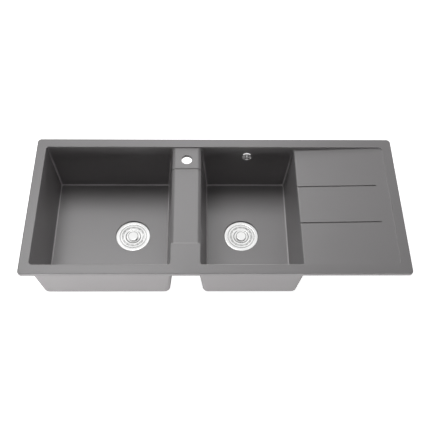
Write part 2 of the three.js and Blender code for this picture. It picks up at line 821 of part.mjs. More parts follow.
// A shallow dome with round inlets, and a collar that finds the hole in the wall.
function overflowRosette() {
  const sheet = rosetteSheet;
  const crown = rosetteFoot + rosetteRise;
  const dishFloor = crown - rosetteDishDepth;
  const collar = overflowHoleRadius - sheetBend;
  const collarFoot = -rosetteCollarDepth;
  const screwHole = overflowScrewRadius + holeClearance;
  const outline = [
    [rosetteRadius, rosetteFoot], [rosetteRadius, rosetteFoot + sheetBend],
    [rosetteShoulderRadius, crown - edgeChamfer], [rosetteCrownRadius, crown],
    [rosetteDish + sheetBend, crown], [rosetteDish, dishFloor],
    [screwHole, dishFloor], [screwHole, dishFloor - sheet],
    [collar - sheet, dishFloor - sheet], [collar - sheet, collarFoot],
    [collar, collarFoot], [collar, rosetteFoot],
  ];
  const hole = rod(rosetteHoleRadius, -reach, crown + reach, smallTurnSteps)
    .translate([rosetteHoleCircle, 0, 0]).rotate([0, 0, 45]);
  return cut(turned(outline), spread(hole, rosetteHoleCount));
}

function overflowScrew() {
  const under = rosetteFoot + rosetteRise - rosetteDishDepth + seatGap;
  const tip = elbowFoot + elbowWall + sheetBend;
  const crown = under + overflowScrewHead / 3;
  return turned([
    [0, tip], [overflowScrewRadius - edgeChamfer, tip], [overflowScrewRadius, tip + edgeChamfer],
    [overflowScrewRadius, under], [overflowScrewHead, under], [overflowScrewHead - edgeChamfer, crown],
    [0, crown + edgeChamfer],
  ], turnSteps / 2);
}

function overflowGasket() {
  const low = gasketTop - overflowGasketThickness;
  const outer = elbowRadius - edgeChamfer;
  return ring(overflowHoleRadius + sheetBend, outer, low, gasketTop, coarseTurnSteps);
}

// A flat elbow: a shallow round box with a hub for the screw and a spigot down.
function overflowElbow() {
  const chamber = elbowRadius - elbowWall;
  const floor = elbowFoot + elbowWall;
  const spigotEnd = elbowRadius + spigotLength;
  const spigot = (radius, start, end) => rod(radius, start, end, spigotTurnSteps)
    .rotate([90, 0, 0]).translate([0, 0, (elbowTop + elbowFoot) / 2]);
  const box = rod(elbowRadius, elbowFoot, elbowTop, turnSteps);
  const hollow = rod(chamber, floor, elbowTop + reach, turnSteps);
  const hub = rod(elbowHubRadius, elbowFoot, elbowTop, turnSteps / 2);
  const outer = box.add(spigot(spigotRadius, chamber, spigotEnd));
  const bore = spigot(spigotBore, elbowHubRadius + sheetBend, spigotEnd + reach);
  const insertLow = elbowTop - overflowInsertLength - seatGap;
  return cut(cut(outer, [hollow, bore]).add(hub), [
    rod(overflowScrewRadius + holeClearance, floor, elbowTop + reach),
    rod(overflowInsertRadius + seatGap, insertLow, elbowTop + reach, turnSteps / 2),
  ]);
}

function overflowInsert() {
  const low = elbowTop - overflowInsertLength;
  return ring(overflowScrewRadius + seatGap, overflowInsertRadius, low, elbowTop, turnSteps / 2);
}

// ---- Assembly ----

const composite = { color: '#8a8888', roughness: 0.62, metalness: 0 };
const stainless = { color: '#d6d6d4', roughness: 0.25, metalness: 1 };
const chrome = { color: '#e2e2e2', roughness: 0.12, metalness: 1 };
const blackPlastic = { color: '#202123', roughness: 0.5, metalness: 0 };
const blackRubber = { color: '#1a1a1b', roughness: 0.85, metalness: 0 };
const brass = { color: '#b59a55', roughness: 0.35, metalness: 1 };

const largeWaste = wastePlace(largeBowl, largeWasteOffsetX);
const smallWaste = wastePlace(smallBowl, smallWasteOffsetX);

function piece(name, shape, finish) {
  const mesh = new THREE.Mesh(geometryOf(shape), new THREE.MeshStandardMaterial(finish));
  mesh.name = name;
  return mesh;
}

// One waste with its lift-out strainer; only the small bowl's takes the overflow.
function wasteSet(side, place, withInlet) {
  const set = new THREE.Group();
  set.position.set(...place);
  set.add(
    piece(`${side}_waste_flange`, wasteFlange(), stainless),
    piece(`${side}_flange_seal`, flangeSeal(), blackRubber),
    piece(`${side}_lower_seal`, lowerSeal(), blackRubber),
    piece(`${side}_waste_body`, wasteBody(withInlet), blackPlastic),
    piece(`${side}_tail_washer`, tailWasher(), blackRubber),
    piece(`${side}_tail_pipe`, tailPipe(), blackPlastic),
    piece(`${side}_coupling_nut`, couplingNut(), blackPlastic),
    piece(`${side}_centre_bolt`, centreBolt(), stainless),
    piece(`${side}_thread_insert`, threadInsert(), brass),
    piece(`${side}_strainer`, strainer(), stainless),
    piece(`${side}_spacer`, spacer(), stainless),
    piece(`${side}_strainer_plug`, strainerPlug(), blackRubber),
    piece(`${side}_knob`, knob(), stainless),
    piece(`${side}_plug_nut`, plugNut(), stainless),
  );
  if (withInlet) set.add(piece('overflow_inlet', overflowInlet(), blackPlastic));
  return set;
}

function overflowSet() {
  const set = new THREE.Group();
  set.applyMatrix4(overflowMatrix());
  set.add(
    piece('overflow_rosette', overflowRosette(), chrome),
    piece('overflow_screw', overflowScrew(), chrome),
    piece('overflow_gasket', overflowGasket(), blackRubber),
    piece('overflow_elbow', overflowElbow(), blackPlastic),
    piece('overflow_thread_insert', overflowInsert(), brass),
  );
  return set;
}

const sink = new THREE.Group();
sink.name = 'double_bowl_sink';
sink.add(
  piece('sink_body', sinkBody(), composite),
  wasteSet('left', largeWaste, false),
  wasteSet('right', smallWaste, true),
  overflowSet(),
);

export default sink;
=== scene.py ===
import json
import math
from functools import partial

import bmesh
import bpy
from mathutils import Matrix, Vector

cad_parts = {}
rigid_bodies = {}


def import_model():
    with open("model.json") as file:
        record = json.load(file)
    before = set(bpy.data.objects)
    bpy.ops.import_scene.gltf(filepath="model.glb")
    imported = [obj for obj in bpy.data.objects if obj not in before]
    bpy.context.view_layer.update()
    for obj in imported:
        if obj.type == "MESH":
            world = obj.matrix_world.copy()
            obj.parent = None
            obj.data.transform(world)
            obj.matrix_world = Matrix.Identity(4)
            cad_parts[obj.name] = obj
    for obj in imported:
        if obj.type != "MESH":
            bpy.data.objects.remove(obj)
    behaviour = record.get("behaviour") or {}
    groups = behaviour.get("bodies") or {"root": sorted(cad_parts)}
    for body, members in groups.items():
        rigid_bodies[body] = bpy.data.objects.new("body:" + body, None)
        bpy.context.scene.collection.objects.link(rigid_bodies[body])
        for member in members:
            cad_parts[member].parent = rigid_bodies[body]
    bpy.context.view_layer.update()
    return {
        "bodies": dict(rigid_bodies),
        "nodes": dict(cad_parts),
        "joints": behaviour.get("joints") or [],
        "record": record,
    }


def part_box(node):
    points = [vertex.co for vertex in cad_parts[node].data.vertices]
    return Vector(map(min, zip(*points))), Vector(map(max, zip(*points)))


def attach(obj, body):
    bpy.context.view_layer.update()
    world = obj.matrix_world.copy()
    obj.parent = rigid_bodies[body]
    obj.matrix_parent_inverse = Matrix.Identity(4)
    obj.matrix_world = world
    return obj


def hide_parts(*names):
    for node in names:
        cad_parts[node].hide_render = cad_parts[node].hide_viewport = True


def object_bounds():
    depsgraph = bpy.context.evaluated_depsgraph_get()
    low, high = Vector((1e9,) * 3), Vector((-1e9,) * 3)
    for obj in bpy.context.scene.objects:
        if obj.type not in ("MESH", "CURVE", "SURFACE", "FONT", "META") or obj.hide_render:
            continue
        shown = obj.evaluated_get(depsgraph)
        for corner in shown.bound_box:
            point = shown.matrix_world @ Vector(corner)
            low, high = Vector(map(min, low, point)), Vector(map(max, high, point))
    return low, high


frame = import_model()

# ---- Camera ----
# The photograph looks down on the sink from 1.8 m above its rim, in front of it and a little to
# the left of its middle. Lengths here and below are in metres.
MM = 0.001
camera_place = Vector((-0.0397, -1.1821, 1.8081))
camera_pitch = math.radians(57.70)
camera_yaw = math.radians(1.919)
camera_roll = math.radians(1.652)
focal_share = 692.57 / 430
sensor_width = 36

looking = Vector((
    math.sin(camera_yaw) * math.cos(camera_pitch),
    math.cos(camera_yaw) * math.cos(camera_pitch),
    -math.sin(camera_pitch),
))
level_right = Vector((math.cos(camera_yaw), -math.sin(camera_yaw), 0))
level_up = level_right.cross(looking)
right = math.cos(camera_roll) * level_right + math.sin(camera_roll) * level_up
up = -math.sin(camera_roll) * level_right + math.cos(camera_roll) * level_up

camera = bpy.data.objects.new("camera", bpy.data.cameras.new("camera"))
camera.data.sensor_width = sensor_width
camera.data.lens = sensor_width * focal_share
turn = Matrix((right, up, -looking)).transposed()
camera.matrix_world = Matrix.Translation(camera_place) @ turn.to_4x4()
bpy.context.scene.collection.objects.link(camera)
bpy.context.scene.camera = camera


# ---- Room ----
# A white studio with soft lamps behind, above and low in front of the sink, which stands over a
# white floor. The camera, gloss and metal see the white, and only the lamps light the object.
body_low, body_high = (Vector(corner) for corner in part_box("sink_body"))
floor_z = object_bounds()[0][2] - 0.5 * MM
floor_size = 9.0
floor_white = (0.86, 0.86, 0.86, 1)
floor_glow = 0.9
world_glow = 1.0
white = (1, 1, 1, 1)
black = (0, 0, 0, 1)
lamp_distance = 2.6
sky_lamp = (1.1, 1.1)
lamp_aim = Vector((0, 0, -50 * MM))


def node(tree, kind, *inputs, **values):
    """A shader node whose settings and sockets, by name or in order, take values or wires."""
    made = tree.nodes.new("ShaderNode" + kind)
    named = {}
    for name, value in values.items():
        if hasattr(made, name):
            setattr(made, name, value)
        else:
            named[name.replace("_", " ")] = value
    for socket, value in [*enumerate(inputs), *named.items()]:
        if isinstance(value, bpy.types.Node):
            value = [output for output in value.outputs if output.enabled][0]
        if isinstance(value, bpy.types.NodeSocket):
            tree.links.new(value, made.inputs[socket])
        else:
            made.inputs[socket].default_value = value
    return made


def new_material(name):
    """An empty material, and the call that adds a node to it."""
    material = bpy.data.materials.new(name)
    material.use_nodes = True
    material.node_tree.nodes.clear()
    return material, partial(node, material.node_tree)


def white_where_seen(add, kind, level):
    """White light of a level for rays from the camera, off gloss and through glass alone."""
    path = add("LightPath")
    seen = path.outputs["Is Camera Ray"]
    for ray in ("Is Glossy Ray", "Is Transmission Ray"):
        seen = add("Math", seen, path.outputs[ray], operation="MAXIMUM")
    dark = add(kind, Color=black, Strength=0.0)
    return add("MixShader", seen, dark, add(kind, Color=white, Strength=level))


# The lamps pass over the shiny metal, which shows the white room and the bowl round it, and
# one weak lamp draws a glint across its rings.
shiny = bpy.data.collections.new("shiny_metal")
glinting = bpy.data.collections.new("glinting_metal")


def sky_place(turn, rise):
    """A point over the horizon: degrees from straight behind to the right, and degrees up."""
    turn, rise = math.radians(turn), math.radians(rise)
    way = Vector((math.cos(rise) * math.sin(turn), math.cos(rise) * math.cos(turn), math.sin(rise)))
    return lamp_distance * way


def lamp(name, place, aim, size, watts, lit):
    made = bpy.data.objects.new(name, bpy.data.lights.new(name, "AREA"))
    made.data.shape = "RECTANGLE"
    made.data.size, made.data.size_y = size
    made.data.energy = watts
    made.location = place
    made.rotation_euler = (aim - place).to_track_quat("-Z", "Y").to_euler()
    made.light_linking.receiver_collection = lit
    bpy.context.scene.collection.objects.link(made)


def moved(bm, shift, verts=None):
    """Shift the given verts of a bmesh, or all of them."""
    bmesh.ops.translate(bm, vec=shift, verts=bm.verts if verts is None else verts)
    return bm


def as_object(bm, name, finish):
    mesh = bpy.data.meshes.new(name)
    bm.to_mesh(mesh)
    bm.free()
    mesh.materials.append(finish)
    made = bpy.data.objects.new(name, mesh)
    bpy.context.scene.collection.objects.link(made)
    return made


floor_material, add = new_material("floor")
diffuse = add("BsdfDiffuse", Color=floor_white)
both = add("AddShader", diffuse, white_where_seen(add, "Emission", floor_glow))
add("OutputMaterial", Surface=both)

bm = bmesh.new()
bmesh.ops.create_grid(bm, x_segments=1, y_segments=1, size=floor_size / 2)
as_object(moved(bm, (0, 0, floor_z)), "floor", floor_material)

world = bpy.data.worlds.new("white_studio")
world.use_nodes = True
world.node_tree.nodes.clear()
add = partial(node, world.node_tree)
add("OutputWorld", Surface=white_where_seen(add, "Background", world_glow))
bpy.context.scene.world = world

# Each lamp has its place, what it aims at, its size and its watts.
for name, place, aim, size, watts in (
    ("behind", sky_place(0, 15), lamp_aim, sky_lamp, 28.8),
    ("behind_high", sky_place(0, 60), lamp_aim, sky_lamp, 11.8),
    ("right_high", sky_place(45, 60), lamp_aim, sky_lamp, 3.0),
    ("left_high", sky_place(-45, 60), lamp_aim, sky_lamp, 20.2),
    ("low_front", Vector((0, -1.6, -0.05)), Vector((0, 0, -0.1)), (3.0, 0.4), 16.1),
    ("low_left", Vector((-0.9, -1.3, -0.1)), Vector((-0.3, 0, -0.1)), (0.8, 0.4), 6.2),
):
    lamp(name, place, aim, size, watts, shiny)
lamp("glint", sky_place(-30, 72), Vector((-0.1, 0, -0.18)), (0.5, 0.5), 4.0, glinting)
bpy.context.scene.view_settings.view_transform = "Standard"


# ---- Moulded body ----
# One casting of quartz sand in resin, grey all through, with a fine matt grain on the face and
# a slightly coarser one behind. The mould's draft lets the bowls narrow towards their floors.
side_border = 30.5 * MM
front_border = 33 * MM
large_length = 413.5 * MM
bridge_width = 90 * MM
small_length = 308 * MM
bowl_depth = 195 * MM
side_slope = math.tan(math.radians(5.5))
end_slope = math.tan(math.radians(4.5))
bowl_corner = 8 * MM
bowl_fillet = 6 * MM
bowl_edge = 2 * MM
side_wall = 12.5 * MM
drainer_side_wall = 17 * MM
end_wall = 8 * MM
floor_thickness = 10 * MM
outer_corner = 16 * MM
outer_fillet = 11 * MM
rim_corner = 12 * MM
rim_edge = 3 * MM
round_steps = 8
quarter = math.pi / 2
half_opening = body_high.y - front_border
rim_top = body_high.z
stone_dark = (0.238, 0.229, 0.233, 1)
stone_light = (0.305, 0.294, 0.299, 1)
stone_fleck = (0.42, 0.41, 0.415, 1)
# Painted highlight: the pale tone drawn along the composite's round edges, strongest deep in the
# bowls.
painted_light_tone = (0.80, 0.777, 0.785, 1)
# Painted reflection: the pale tone of the tap hole's wall, standing in for the white room that it
# reflects.
painted_reflection_tone = (0.78, 0.77, 0.775, 1)
back_dark = (0.305, 0.294, 0.298, 1)
back_light = (0.375, 0.362, 0.367, 1)
grain_scale = 900
grain_span = (0.3, 0.7)
grain_weight = 0.5
cloud_scale = 9
cloud_weight = 0.25
shade_from = 0.375
fleck_scale = 620
fleck_heart, fleck_edge = 0.09, 0.16
fleck_strength = 0.5
# How much painted highlight the round edges get just under the rim, and the depths over which it
# grows to full in the bowls.
painted_highlight_at_rim = 0.12
painted_highlight_from, painted_highlight_to = -12 * MM, -70 * MM
flat_face, slanted_face = 0.985, 0.8
stone_sheen = 0.05
stone_bump = 0.35


def surface(add, colour, sheen, sheen_span, relief, strength, height, **metal):
    """A material's skin: one texture varies its gloss, and another one raises its relief."""
    gloss = add("MapRange", Value=sheen, To_Min=sheen_span[0], To_Max=sheen_span[1])
    bump = add("Bump", Height=relief, Strength=strength, Distance=height)
    skin = add("BsdfPrincipled", Base_Color=colour, Roughness=gloss, Normal=bump, **metal)
    add("OutputMaterial", Surface=skin)


def stone(name, dark, light, fleck, edge, roughness, grain_height):
    """Fine grains of two greys, a few pale flecks and a slow cloudiness. The round edges, whose
    faces point along no axis, get a painted highlight, strongest deep in the bowls."""
    material, add = new_material(name)
    place = add("TexCoord")
    where = place.outputs["Object"]
    grain = add("TexNoise", Vector=where, Scale=grain_scale, Detail=2.0, Roughness=0.7)
    clouds = add("TexNoise", Vector=where, Scale=cloud_scale, Detail=3.0)
    spots = add("TexVoronoi", Vector=where, Scale=fleck_scale, Randomness=1.0)
    sharp = add("MapRange", Value=grain, From_Min=grain_span[0], From_Max=grain_span[1])
    fine = add("Math", sharp, grain_weight, operation="MULTIPLY")
    slow = add("Math", clouds, cloud_weight, shade_from, operation="MULTIPLY_ADD")
    shade = add("Math", fine, slow, operation="ADD")
    sand = add("Mix", data_type="RGBA", Factor=shade, A=dark, B=light)
    pale = add(
        "MapRange", Value=spots, From_Min=fleck_heart, From_Max=fleck_edge,
        To_Min=fleck_strength, To_Max=0.0,
    )
    flecked = add("Mix", data_type="RGBA", Factor=pale, A=sand, B=fleck)
    facing = add("SeparateXYZ", place.outputs["Normal"])
    lengths = [add("Math", facing.outputs[axis], operation="ABSOLUTE") for axis in "XYZ"]
    straight = add("Math", lengths[0], lengths[1], operation="MAXIMUM")
    straight = add("Math", straight, lengths[2], operation="MAXIMUM")
    slanted = add("MapRange", Value=straight, From_Min=flat_face, From_Max=slanted_face)
    level = add("SeparateXYZ", where).outputs["Z"]
    deeper = add(
        "MapRange", Value=level, From_Min=painted_highlight_from, From_Max=painted_highlight_to, To_Min=painted_highlight_at_rim,
    )
    # Painted highlight: round edges are mixed towards the pale tone, more the deeper they lie in
    # the bowls.
    painted_highlight_mask = add("Math", slanted, deeper, operation="MULTIPLY")
    with_painted_highlight = add("Mix", data_type="RGBA", Factor=painted_highlight_mask, A=flecked, B=edge)
    sheen_span = (roughness - stone_sheen, roughness + stone_sheen)
    surface(add, with_painted_highlight, grain, sheen_span, grain, stone_bump, grain_height)
    return material


face_stone = stone(
    "composite_face", stone_dark, stone_light, stone_fleck, painted_light_tone,
    roughness=0.32, grain_height=0.06 * MM,
)
# Its round edges take the light grain tone as a faint painted highlight.
back_stone = stone(
    "composite_back", back_dark, back_light, back_light, back_light,
    roughness=0.75, grain_height=0.3 * MM,
)
# The tap hole's wall: a painted reflection of the white room, with the painted highlight tone as
# its darker grey.
painted_reflection_stone = stone(
    "composite_painted_reflection", painted_light_tone, painted_reflection_tone, painted_reflection_tone, painted_reflection_tone,
    roughness=0.8, grain_height=0.4 * MM,
)

large_x = (body_low.x + side_border, body_low.x + side_border + large_length)
small_x = (large_x[1] + bridge_width, large_x[1] + bridge_width + small_length)
drainer_x = (small_x[1], body_high.x - side_border)


def arc(turn, steps=round_steps):
    """Angles in even steps from nothing to the whole turn."""
    return [turn * i / steps for i in range(steps + 1)]


def middle_of(box, z=0):
    return Vector(((box[0] + box[1]) / 2, (box[2] + box[3]) / 2, z))


def grown(box, left, right=None, ends=None):
    """The box (low x, high x, low y, high y) grown on its left, right and ends, or all round."""
    right = left if right is None else right
    ends = left if ends is None else ends
    return (box[0] - left, box[1] + right, box[2] - ends, box[3] + ends)


def rounded(bm, parts, size, steps, affect="VERTICES", clamp=False):
    """Bevel corners or edges round, or flat with one step."""
    return bmesh.ops.bevel(
        bm, geom=parts, offset=size, offset_type="OFFSET", segments=steps,
        profile=0.5, affect=affect, material=-1, clamp_overlap=clamp,
    )


def raised(bm, face, keep):
    """Extrude a face in place, and drop the old one unless it closes the solid."""
    made = bmesh.ops.extrude_face_region(bm, geom=[face])["geom"]
    if not keep:
        bmesh.ops.delete(bm, geom=[face], context="FACES_ONLY")
    new_face = [part for part in made if isinstance(part, bmesh.types.BMFace)][0]
    return new_face, [part for part in made if isinstance(part, bmesh.types.BMVert)]


def carried(bm, stations, move):
    """Carry the newest face of a bmesh through stations, where move shifts its new verts."""
    bm.faces.ensure_lookup_table()
    face = bm.faces[-1]
    for old, new in zip(stations, stations[1:]):
        face, verts = raised(bm, face, keep=old is stations[0])
        move(bm, verts, old, new)
    bmesh.ops.recalc_face_normals(bm, faces=bm.faces)
    return bm


def to_level(bm, verts, old, new):
    """Fit an outline from one (z, box) level to the next."""
    (old_z, old_box), (new_z, new_box) = old, new
    stretch = (
        (new_box[1] - new_box[0]) / (old_box[1] - old_box[0]),
        (new_box[3] - new_box[2]) / (old_box[3] - old_box[2]),
        1,
    )
    old_middle, new_middle = middle_of(old_box), middle_of(new_box)
    shift = new_middle - old_middle + Vector((0, 0, new_z - old_z))
    bmesh.ops.scale(bm, vec=stretch, space=Matrix.Translation(-old_middle), verts=verts)
    moved(bm, shift, verts)


def stacked(levels, radius, steps=round_steps):
    """A closed bmesh through (z, box) levels; radius is the corner's at the first level."""
    bm = bmesh.new()
    z, box = levels[0]
    corners = bmesh.ops.create_grid(bm, x_segments=1, y_segments=1, size=0.5)["verts"]
    bmesh.ops.scale(bm, vec=(box[1] - box[0], box[3] - box[2], 1), verts=corners)
    moved(bm, middle_of(box, z), corners)
    rounded(bm, corners, radius, steps, clamp=True)
    return carried(bm, levels, to_level)


def combined(base, tool, operation):
    """Apply a boolean of another object to base, and throw the other object away."""
    change = base.modifiers.new("boolean", "BOOLEAN")
    change.operation = operation
    change.solver = "EXACT"
    change.material_mode = "TRANSFER"
    change.object = tool
    graph = bpy.context.evaluated_depsgraph_get()
    result = bpy.data.meshes.new_from_object(base.evaluated_get(graph))
    base.modifiers.clear()
    base.data = result
    bpy.data.objects.remove(tool)


def joined(base, bm, finish=None):
    combined(base, as_object(bm, "added", finish or base.data.materials[0]), "UNION")


def cut(base, bm, finish=None):
    combined(base, as_object(bm, "space", finish or base.data.materials[0]), "DIFFERENCE")


def bowl_levels(box, left, right, ends, depth, fillet):
    """Levels of a bowl from its foot to its straight walls; no walls give the inside."""
    levels = []
    for angle in arc(quarter - math.atan(side_slope)):
        down = depth - fillet + fillet * math.cos(angle)
        side, end = [
            (depth - fillet) * slope + fillet * math.hypot(1, slope) - fillet * math.sin(angle)
            for slope in (side_slope, end_slope)
        ]
        levels.append((rim_top - down, grown(box, left - side, right - side, ends - end)))
    return levels


def bowl_space(x):
    """The air in a bowl, with the round edge at its mouth."""
    box = (*x, -half_opening, half_opening)
    levels = bowl_levels(box, 0, 0, 0, bowl_depth, bowl_fillet)
    for angle in reversed(arc(quarter, round_steps // 2)):
        down = bowl_edge * (1 - math.cos(angle))
        out = bowl_edge * (1 - math.sin(angle))
        side = out - down * side_slope
        levels.append((rim_top - down, grown(box, side, side, out - down * end_slope)))
    levels.append((rim_top + bowl_edge, grown(box, bowl_edge)))
    return stacked(levels, bowl_corner)


def bowl_shell(x, left, right):
    """A bowl's outside, up into the rim."""
    box = (*x, -half_opening, half_opening)
    levels = bowl_levels(box, left, right, end_wall, bowl_depth + floor_thickness, outer_fillet)
    down = rim_top / 2
    side = down * side_slope
    top = grown(box, left - side, right - side, end_wall - down * end_slope)
    return stacked(levels + [(rim_top - down, top)], outer_corner)


rim_box = (body_low.x, body_high.x, body_low.y, body_high.y)
levels = [(0, rim_box)]
for angle in arc(quarter):
    inset = rim_edge * (1 - math.cos(angle))
    levels.append((rim_top - rim_edge * (1 - math.sin(angle)), grown(rim_box, -inset)))
sink = as_object(stacked(levels, rim_corner), "sink_moulding", face_stone)
joined(sink, bowl_shell(large_x, side_wall, side_wall), back_stone)
joined(sink, bowl_shell(small_x, side_wall, drainer_side_wall), back_stone)

# The shell under the bridge and under the drainer joins the two bowls to the rim.
ledge_drop = 4 * MM
saddle_drop = 7 * MM
bridge_thickness = 7 * MM
bridge_half = half_opening + end_wall
bridge_box = (large_x[1], small_x[0], -bridge_half, bridge_half)
levels = [(rim_top - saddle_drop - bridge_thickness, bridge_box), (rim_top / 2, bridge_box)]
joined(sink, stacked(levels, 1 * MM, 1), back_stone)

drainer_deep = 12 * MM
drainer_shallow = 3 * MM
drainer_corner = 14 * MM
drainer_thickness = 9 * MM
drainer_fall = (drainer_deep - drainer_shallow) / (drainer_x[1] - drainer_x[0])


def round_foot(box, foot, radius, top):
    """Levels of a tray with a round lower edge, from its foot to its top."""
    levels = []
    for angle in arc(quarter):
        inset = radius * (1 - math.sin(angle))
        levels.append((foot + radius * (1 - math.cos(angle)), grown(box, -inset)))
    return levels + [(top, box)]


def slope_below(bm, height):
    """Lean every level under the given height along the drainer's fall."""
    low = [v for v in bm.verts if v.co.z < height]
    lean = Matrix.Identity(4)
    lean[2][0] = drainer_fall
    lean[2][3] = -drainer_x[0] * drainer_fall
    bmesh.ops.transform(bm, matrix=lean, verts=low)
    return bm


pan_half = half_opening + drainer_thickness
pan_round = drainer_thickness / 2
pan_box = (drainer_x[0] + pan_round, drainer_x[1] + drainer_thickness, -pan_half, pan_half)
pan_foot = rim_top - drainer_deep - drainer_thickness
pan = stacked(round_foot(pan_box, pan_foot, pan_round, rim_top / 2), drainer_corner + pan_round)
joined(sink, slope_below(pan, rim_top / 4), back_stone)

for x in (large_x, small_x):
    cut(sink, bowl_space(x))

# The bridge's top is a step lower than the rim, and its saddle lower still, so that the large
# bowl overflows into the small one. Its long edges slope down and are rounded, less so at the pad,
# and at both ends they turn out with the bowls' corners. A shape holds drop, shoulder and flare.
bridge_shoulder = 9 * MM
shoulder_round = 2.5 * MM
shoulder_depth = bridge_shoulder + shoulder_round
sliver = 0.02 * MM
nearly_all = 0.999
pad_shoulder = 3 * MM
ledge_edge = half_opening - 83 * MM
pad_edge = -half_opening + 75 * MM
step_length = 3 * MM
past = 5 * MM
lean_in = (saddle_drop + shoulder_depth) * side_slope
tap_x = (large_x[1] + small_x[0]) / 2
bridge_left = large_x[1] - lean_in
bridge_right = small_x[0] + lean_in
corner_start = half_opening - ledge_drop * end_slope - bowl_corner
pad = Vector((ledge_drop, pad_shoulder, 0))
saddle = Vector((saddle_drop, bridge_shoulder, 0))
ledge = Vector((ledge_drop, bridge_shoulder, 0))


def corner_flares(shape):
    """Stations from a bowl's corner to the rim, where the edge follows the corner's arc."""
    for angle in arc(quarter)[1:-1]:
        flare = Vector((0, 0, bowl_corner * (1 - math.cos(angle))))
        yield corner_start + bowl_corner * math.sin(angle), shape + flare
    yield half_opening, shape + flare


stations = [(-along, shape) for along, shape in corner_flares(pad)][::-1] + [(-corner_start, pad)]
for edge, first, last in ((pad_edge, pad, saddle), (ledge_edge, saddle, ledge)):
    for i in range(round_steps + 1):
        share = (1 - math.cos(math.pi * i / round_steps)) / 2
        along = edge - step_length / 2 + step_length * i / round_steps
        stations.append((along, first.lerp(last, share)))
stations += [(corner_start, ledge), *corner_flares(ledge)]


def spread(bm, verts, flare):
    """Move the verts on both sides of the bridge's middle outwards."""
    for sign in (-1, 1):
        half = [v for v in verts if (v.co.x - tap_x) * sign > 0]
        moved(bm, (sign * flare, 0, 0), half)


def resize_shoulders(bm, verts, top, share, flare=0):
    """Scale the round edges on both sides of the bridge about the corners that they round."""
    low = [v for v in verts if v.co.z < top + sliver]
    for corner, outwards in ((bridge_left - flare, -1), (bridge_right + flare, 1)):
        near = [v for v in low if (v.co.x - corner) * outwards > -shoulder_depth - sliver]
        centre = Matrix.Translation((-corner, 0, -top))
        bmesh.ops.scale(bm, vec=(share, 1, share), space=centre, verts=near)


def to_station(bm, verts, old, new):
    """Fit the outline of the bridge's air from one (y, shape) station to the next."""
    (old_y, old_shape), (new_y, new_shape) = old, new
    moved(bm, (0, new_y - old_y, 0), verts)
    low = [v for v in verts if v.co.z < rim_top]
    moved(bm, (0, 0, old_shape.x - new_shape.x), low)
    spread(bm, verts, new_shape.z - old_shape.z)
    resize_shoulders(bm, low, rim_top - new_shape.x, new_shape.y / old_shape.y, new_shape.z)


def upright_face(outline, y):
    """A bmesh with one face through (x, z) corners, and those corners."""
    bm = bmesh.new()
    corners = [bm.verts.new((x, y, z)) for x, z in outline]
    bm.faces.new(corners)
    return bm, corners


ledge_top = rim_top - ledge_drop
foot = ledge_top - shoulder_depth
bm, corners = upright_face([
    (bridge_left - past, rim_top + past), (bridge_right + past, rim_top + past),
    (bridge_right + past, foot), (bridge_right, foot),
    (bridge_right, ledge_top), (bridge_left, ledge_top),
    (bridge_left, foot), (bridge_left - past, foot),
], -half_opening)
sloped = rounded(bm, corners[4:6], bridge_shoulder, 1)["verts"]
rounded(bm, sloped, shoulder_round * nearly_all, round_steps)
resize_shoulders(bm, bm.verts, ledge_top, pad_shoulder / bridge_shoulder)
spread(bm, bm.verts, stations[0][1].z)
cut(sink, carried(bm, stations, to_station))

# The drainer falls towards the small bowl and ends there in a round edge, which follows the
# bowl's corners at both ends.
drainer_fillet = 1.2 * MM
drainer_shoulder = 5 * MM
recess_left = drainer_x[0] - drainer_corner - drainer_shoulder
recess_box = (recess_left, drainer_x[1], -half_opening, half_opening)
recess_foot = rim_top - drainer_deep
recess = round_foot(recess_box, recess_foot, drainer_fillet, rim_top + past)
cut(sink, slope_below(stacked(recess, drainer_corner), rim_top))

shoulder_x = drainer_x[0] - (drainer_deep + drainer_shoulder) * side_slope
inner_x = shoulder_x + 2 * drainer_shoulder
foot = recess_foot - drainer_shoulder
inside_y = half_opening - drainer_fillet
bm, corners = upright_face([
    (shoulder_x - past, rim_top), (shoulder_x - past, foot), (shoulder_x, foot),
    (shoulder_x, recess_foot + sliver), (inner_x, recess_foot + sliver), (inner_x, rim_top),
], -inside_y)
rounded(bm, corners[3:4], drainer_shoulder * nearly_all, round_steps)
corner_y = half_opening - drainer_deep * end_slope - bowl_corner
edge = [
    (corner_y + bowl_corner * math.sin(angle), bowl_corner * (1 - math.cos(angle)))
    for angle in arc(math.asin((inside_y - corner_y) / bowl_corner))
]
edge = [(-y, flare) for y, flare in edge[::-1]] + edge


def along_edge(bm, verts, old, new):
    moved(bm, (old[1] - new[1], new[0] - old[0], 0), verts)


moved(bm, (-edge[0][1], 0, 0))
cut(sink, slope_below(carried(bm, edge, along_edge), rim_top - 1 * MM))

# Two shallow grooves lead the water to the bowl.
groove_width = 4.6 * MM
groove_depth = 3.4 * MM
groove_y = 67.5 * MM
groove_end = drainer_x[1] - 40 * MM
groove_radius = (groove_width ** 2 / 4 + groove_depth ** 2) / (2 * groove_depth)
groove_start = drainer_x[0] - past
groove_lift = recess_foot + groove_radius - groove_depth
for side in (1, -1):
    bm = bmesh.new()
    lying = Matrix.Rotation(quarter, 4, "Y")
    bmesh.ops.create_uvsphere(
        bm, u_segments=24, v_segments=16, radius=groove_radius, matrix=lying,
    )
    tail = [v for v in bm.verts if v.co.x < -sliver]
    moved(bm, (groove_start - groove_end, 0, 0), tail)
    moved(bm, (groove_end, side * groove_y, groove_lift))
    cut(sink, slope_below(bm, rim_top + past))

# Holes: the tap's knocked out of the ledge, its wall pale with a painted reflection of the white
# room, one for each waste with a sunk seat, and the overflow's.
tap_radius = 17.5 * MM
tap_place = Vector((tap_x, half_opening - 48 * MM, 0))
tap_hole_foot = -40 * MM
waste_hole = 45 * MM
seat_depth = 4 * MM
seat_spare = 1.6 * MM
large_steps, middle_steps, small_steps = 96, 48, 32


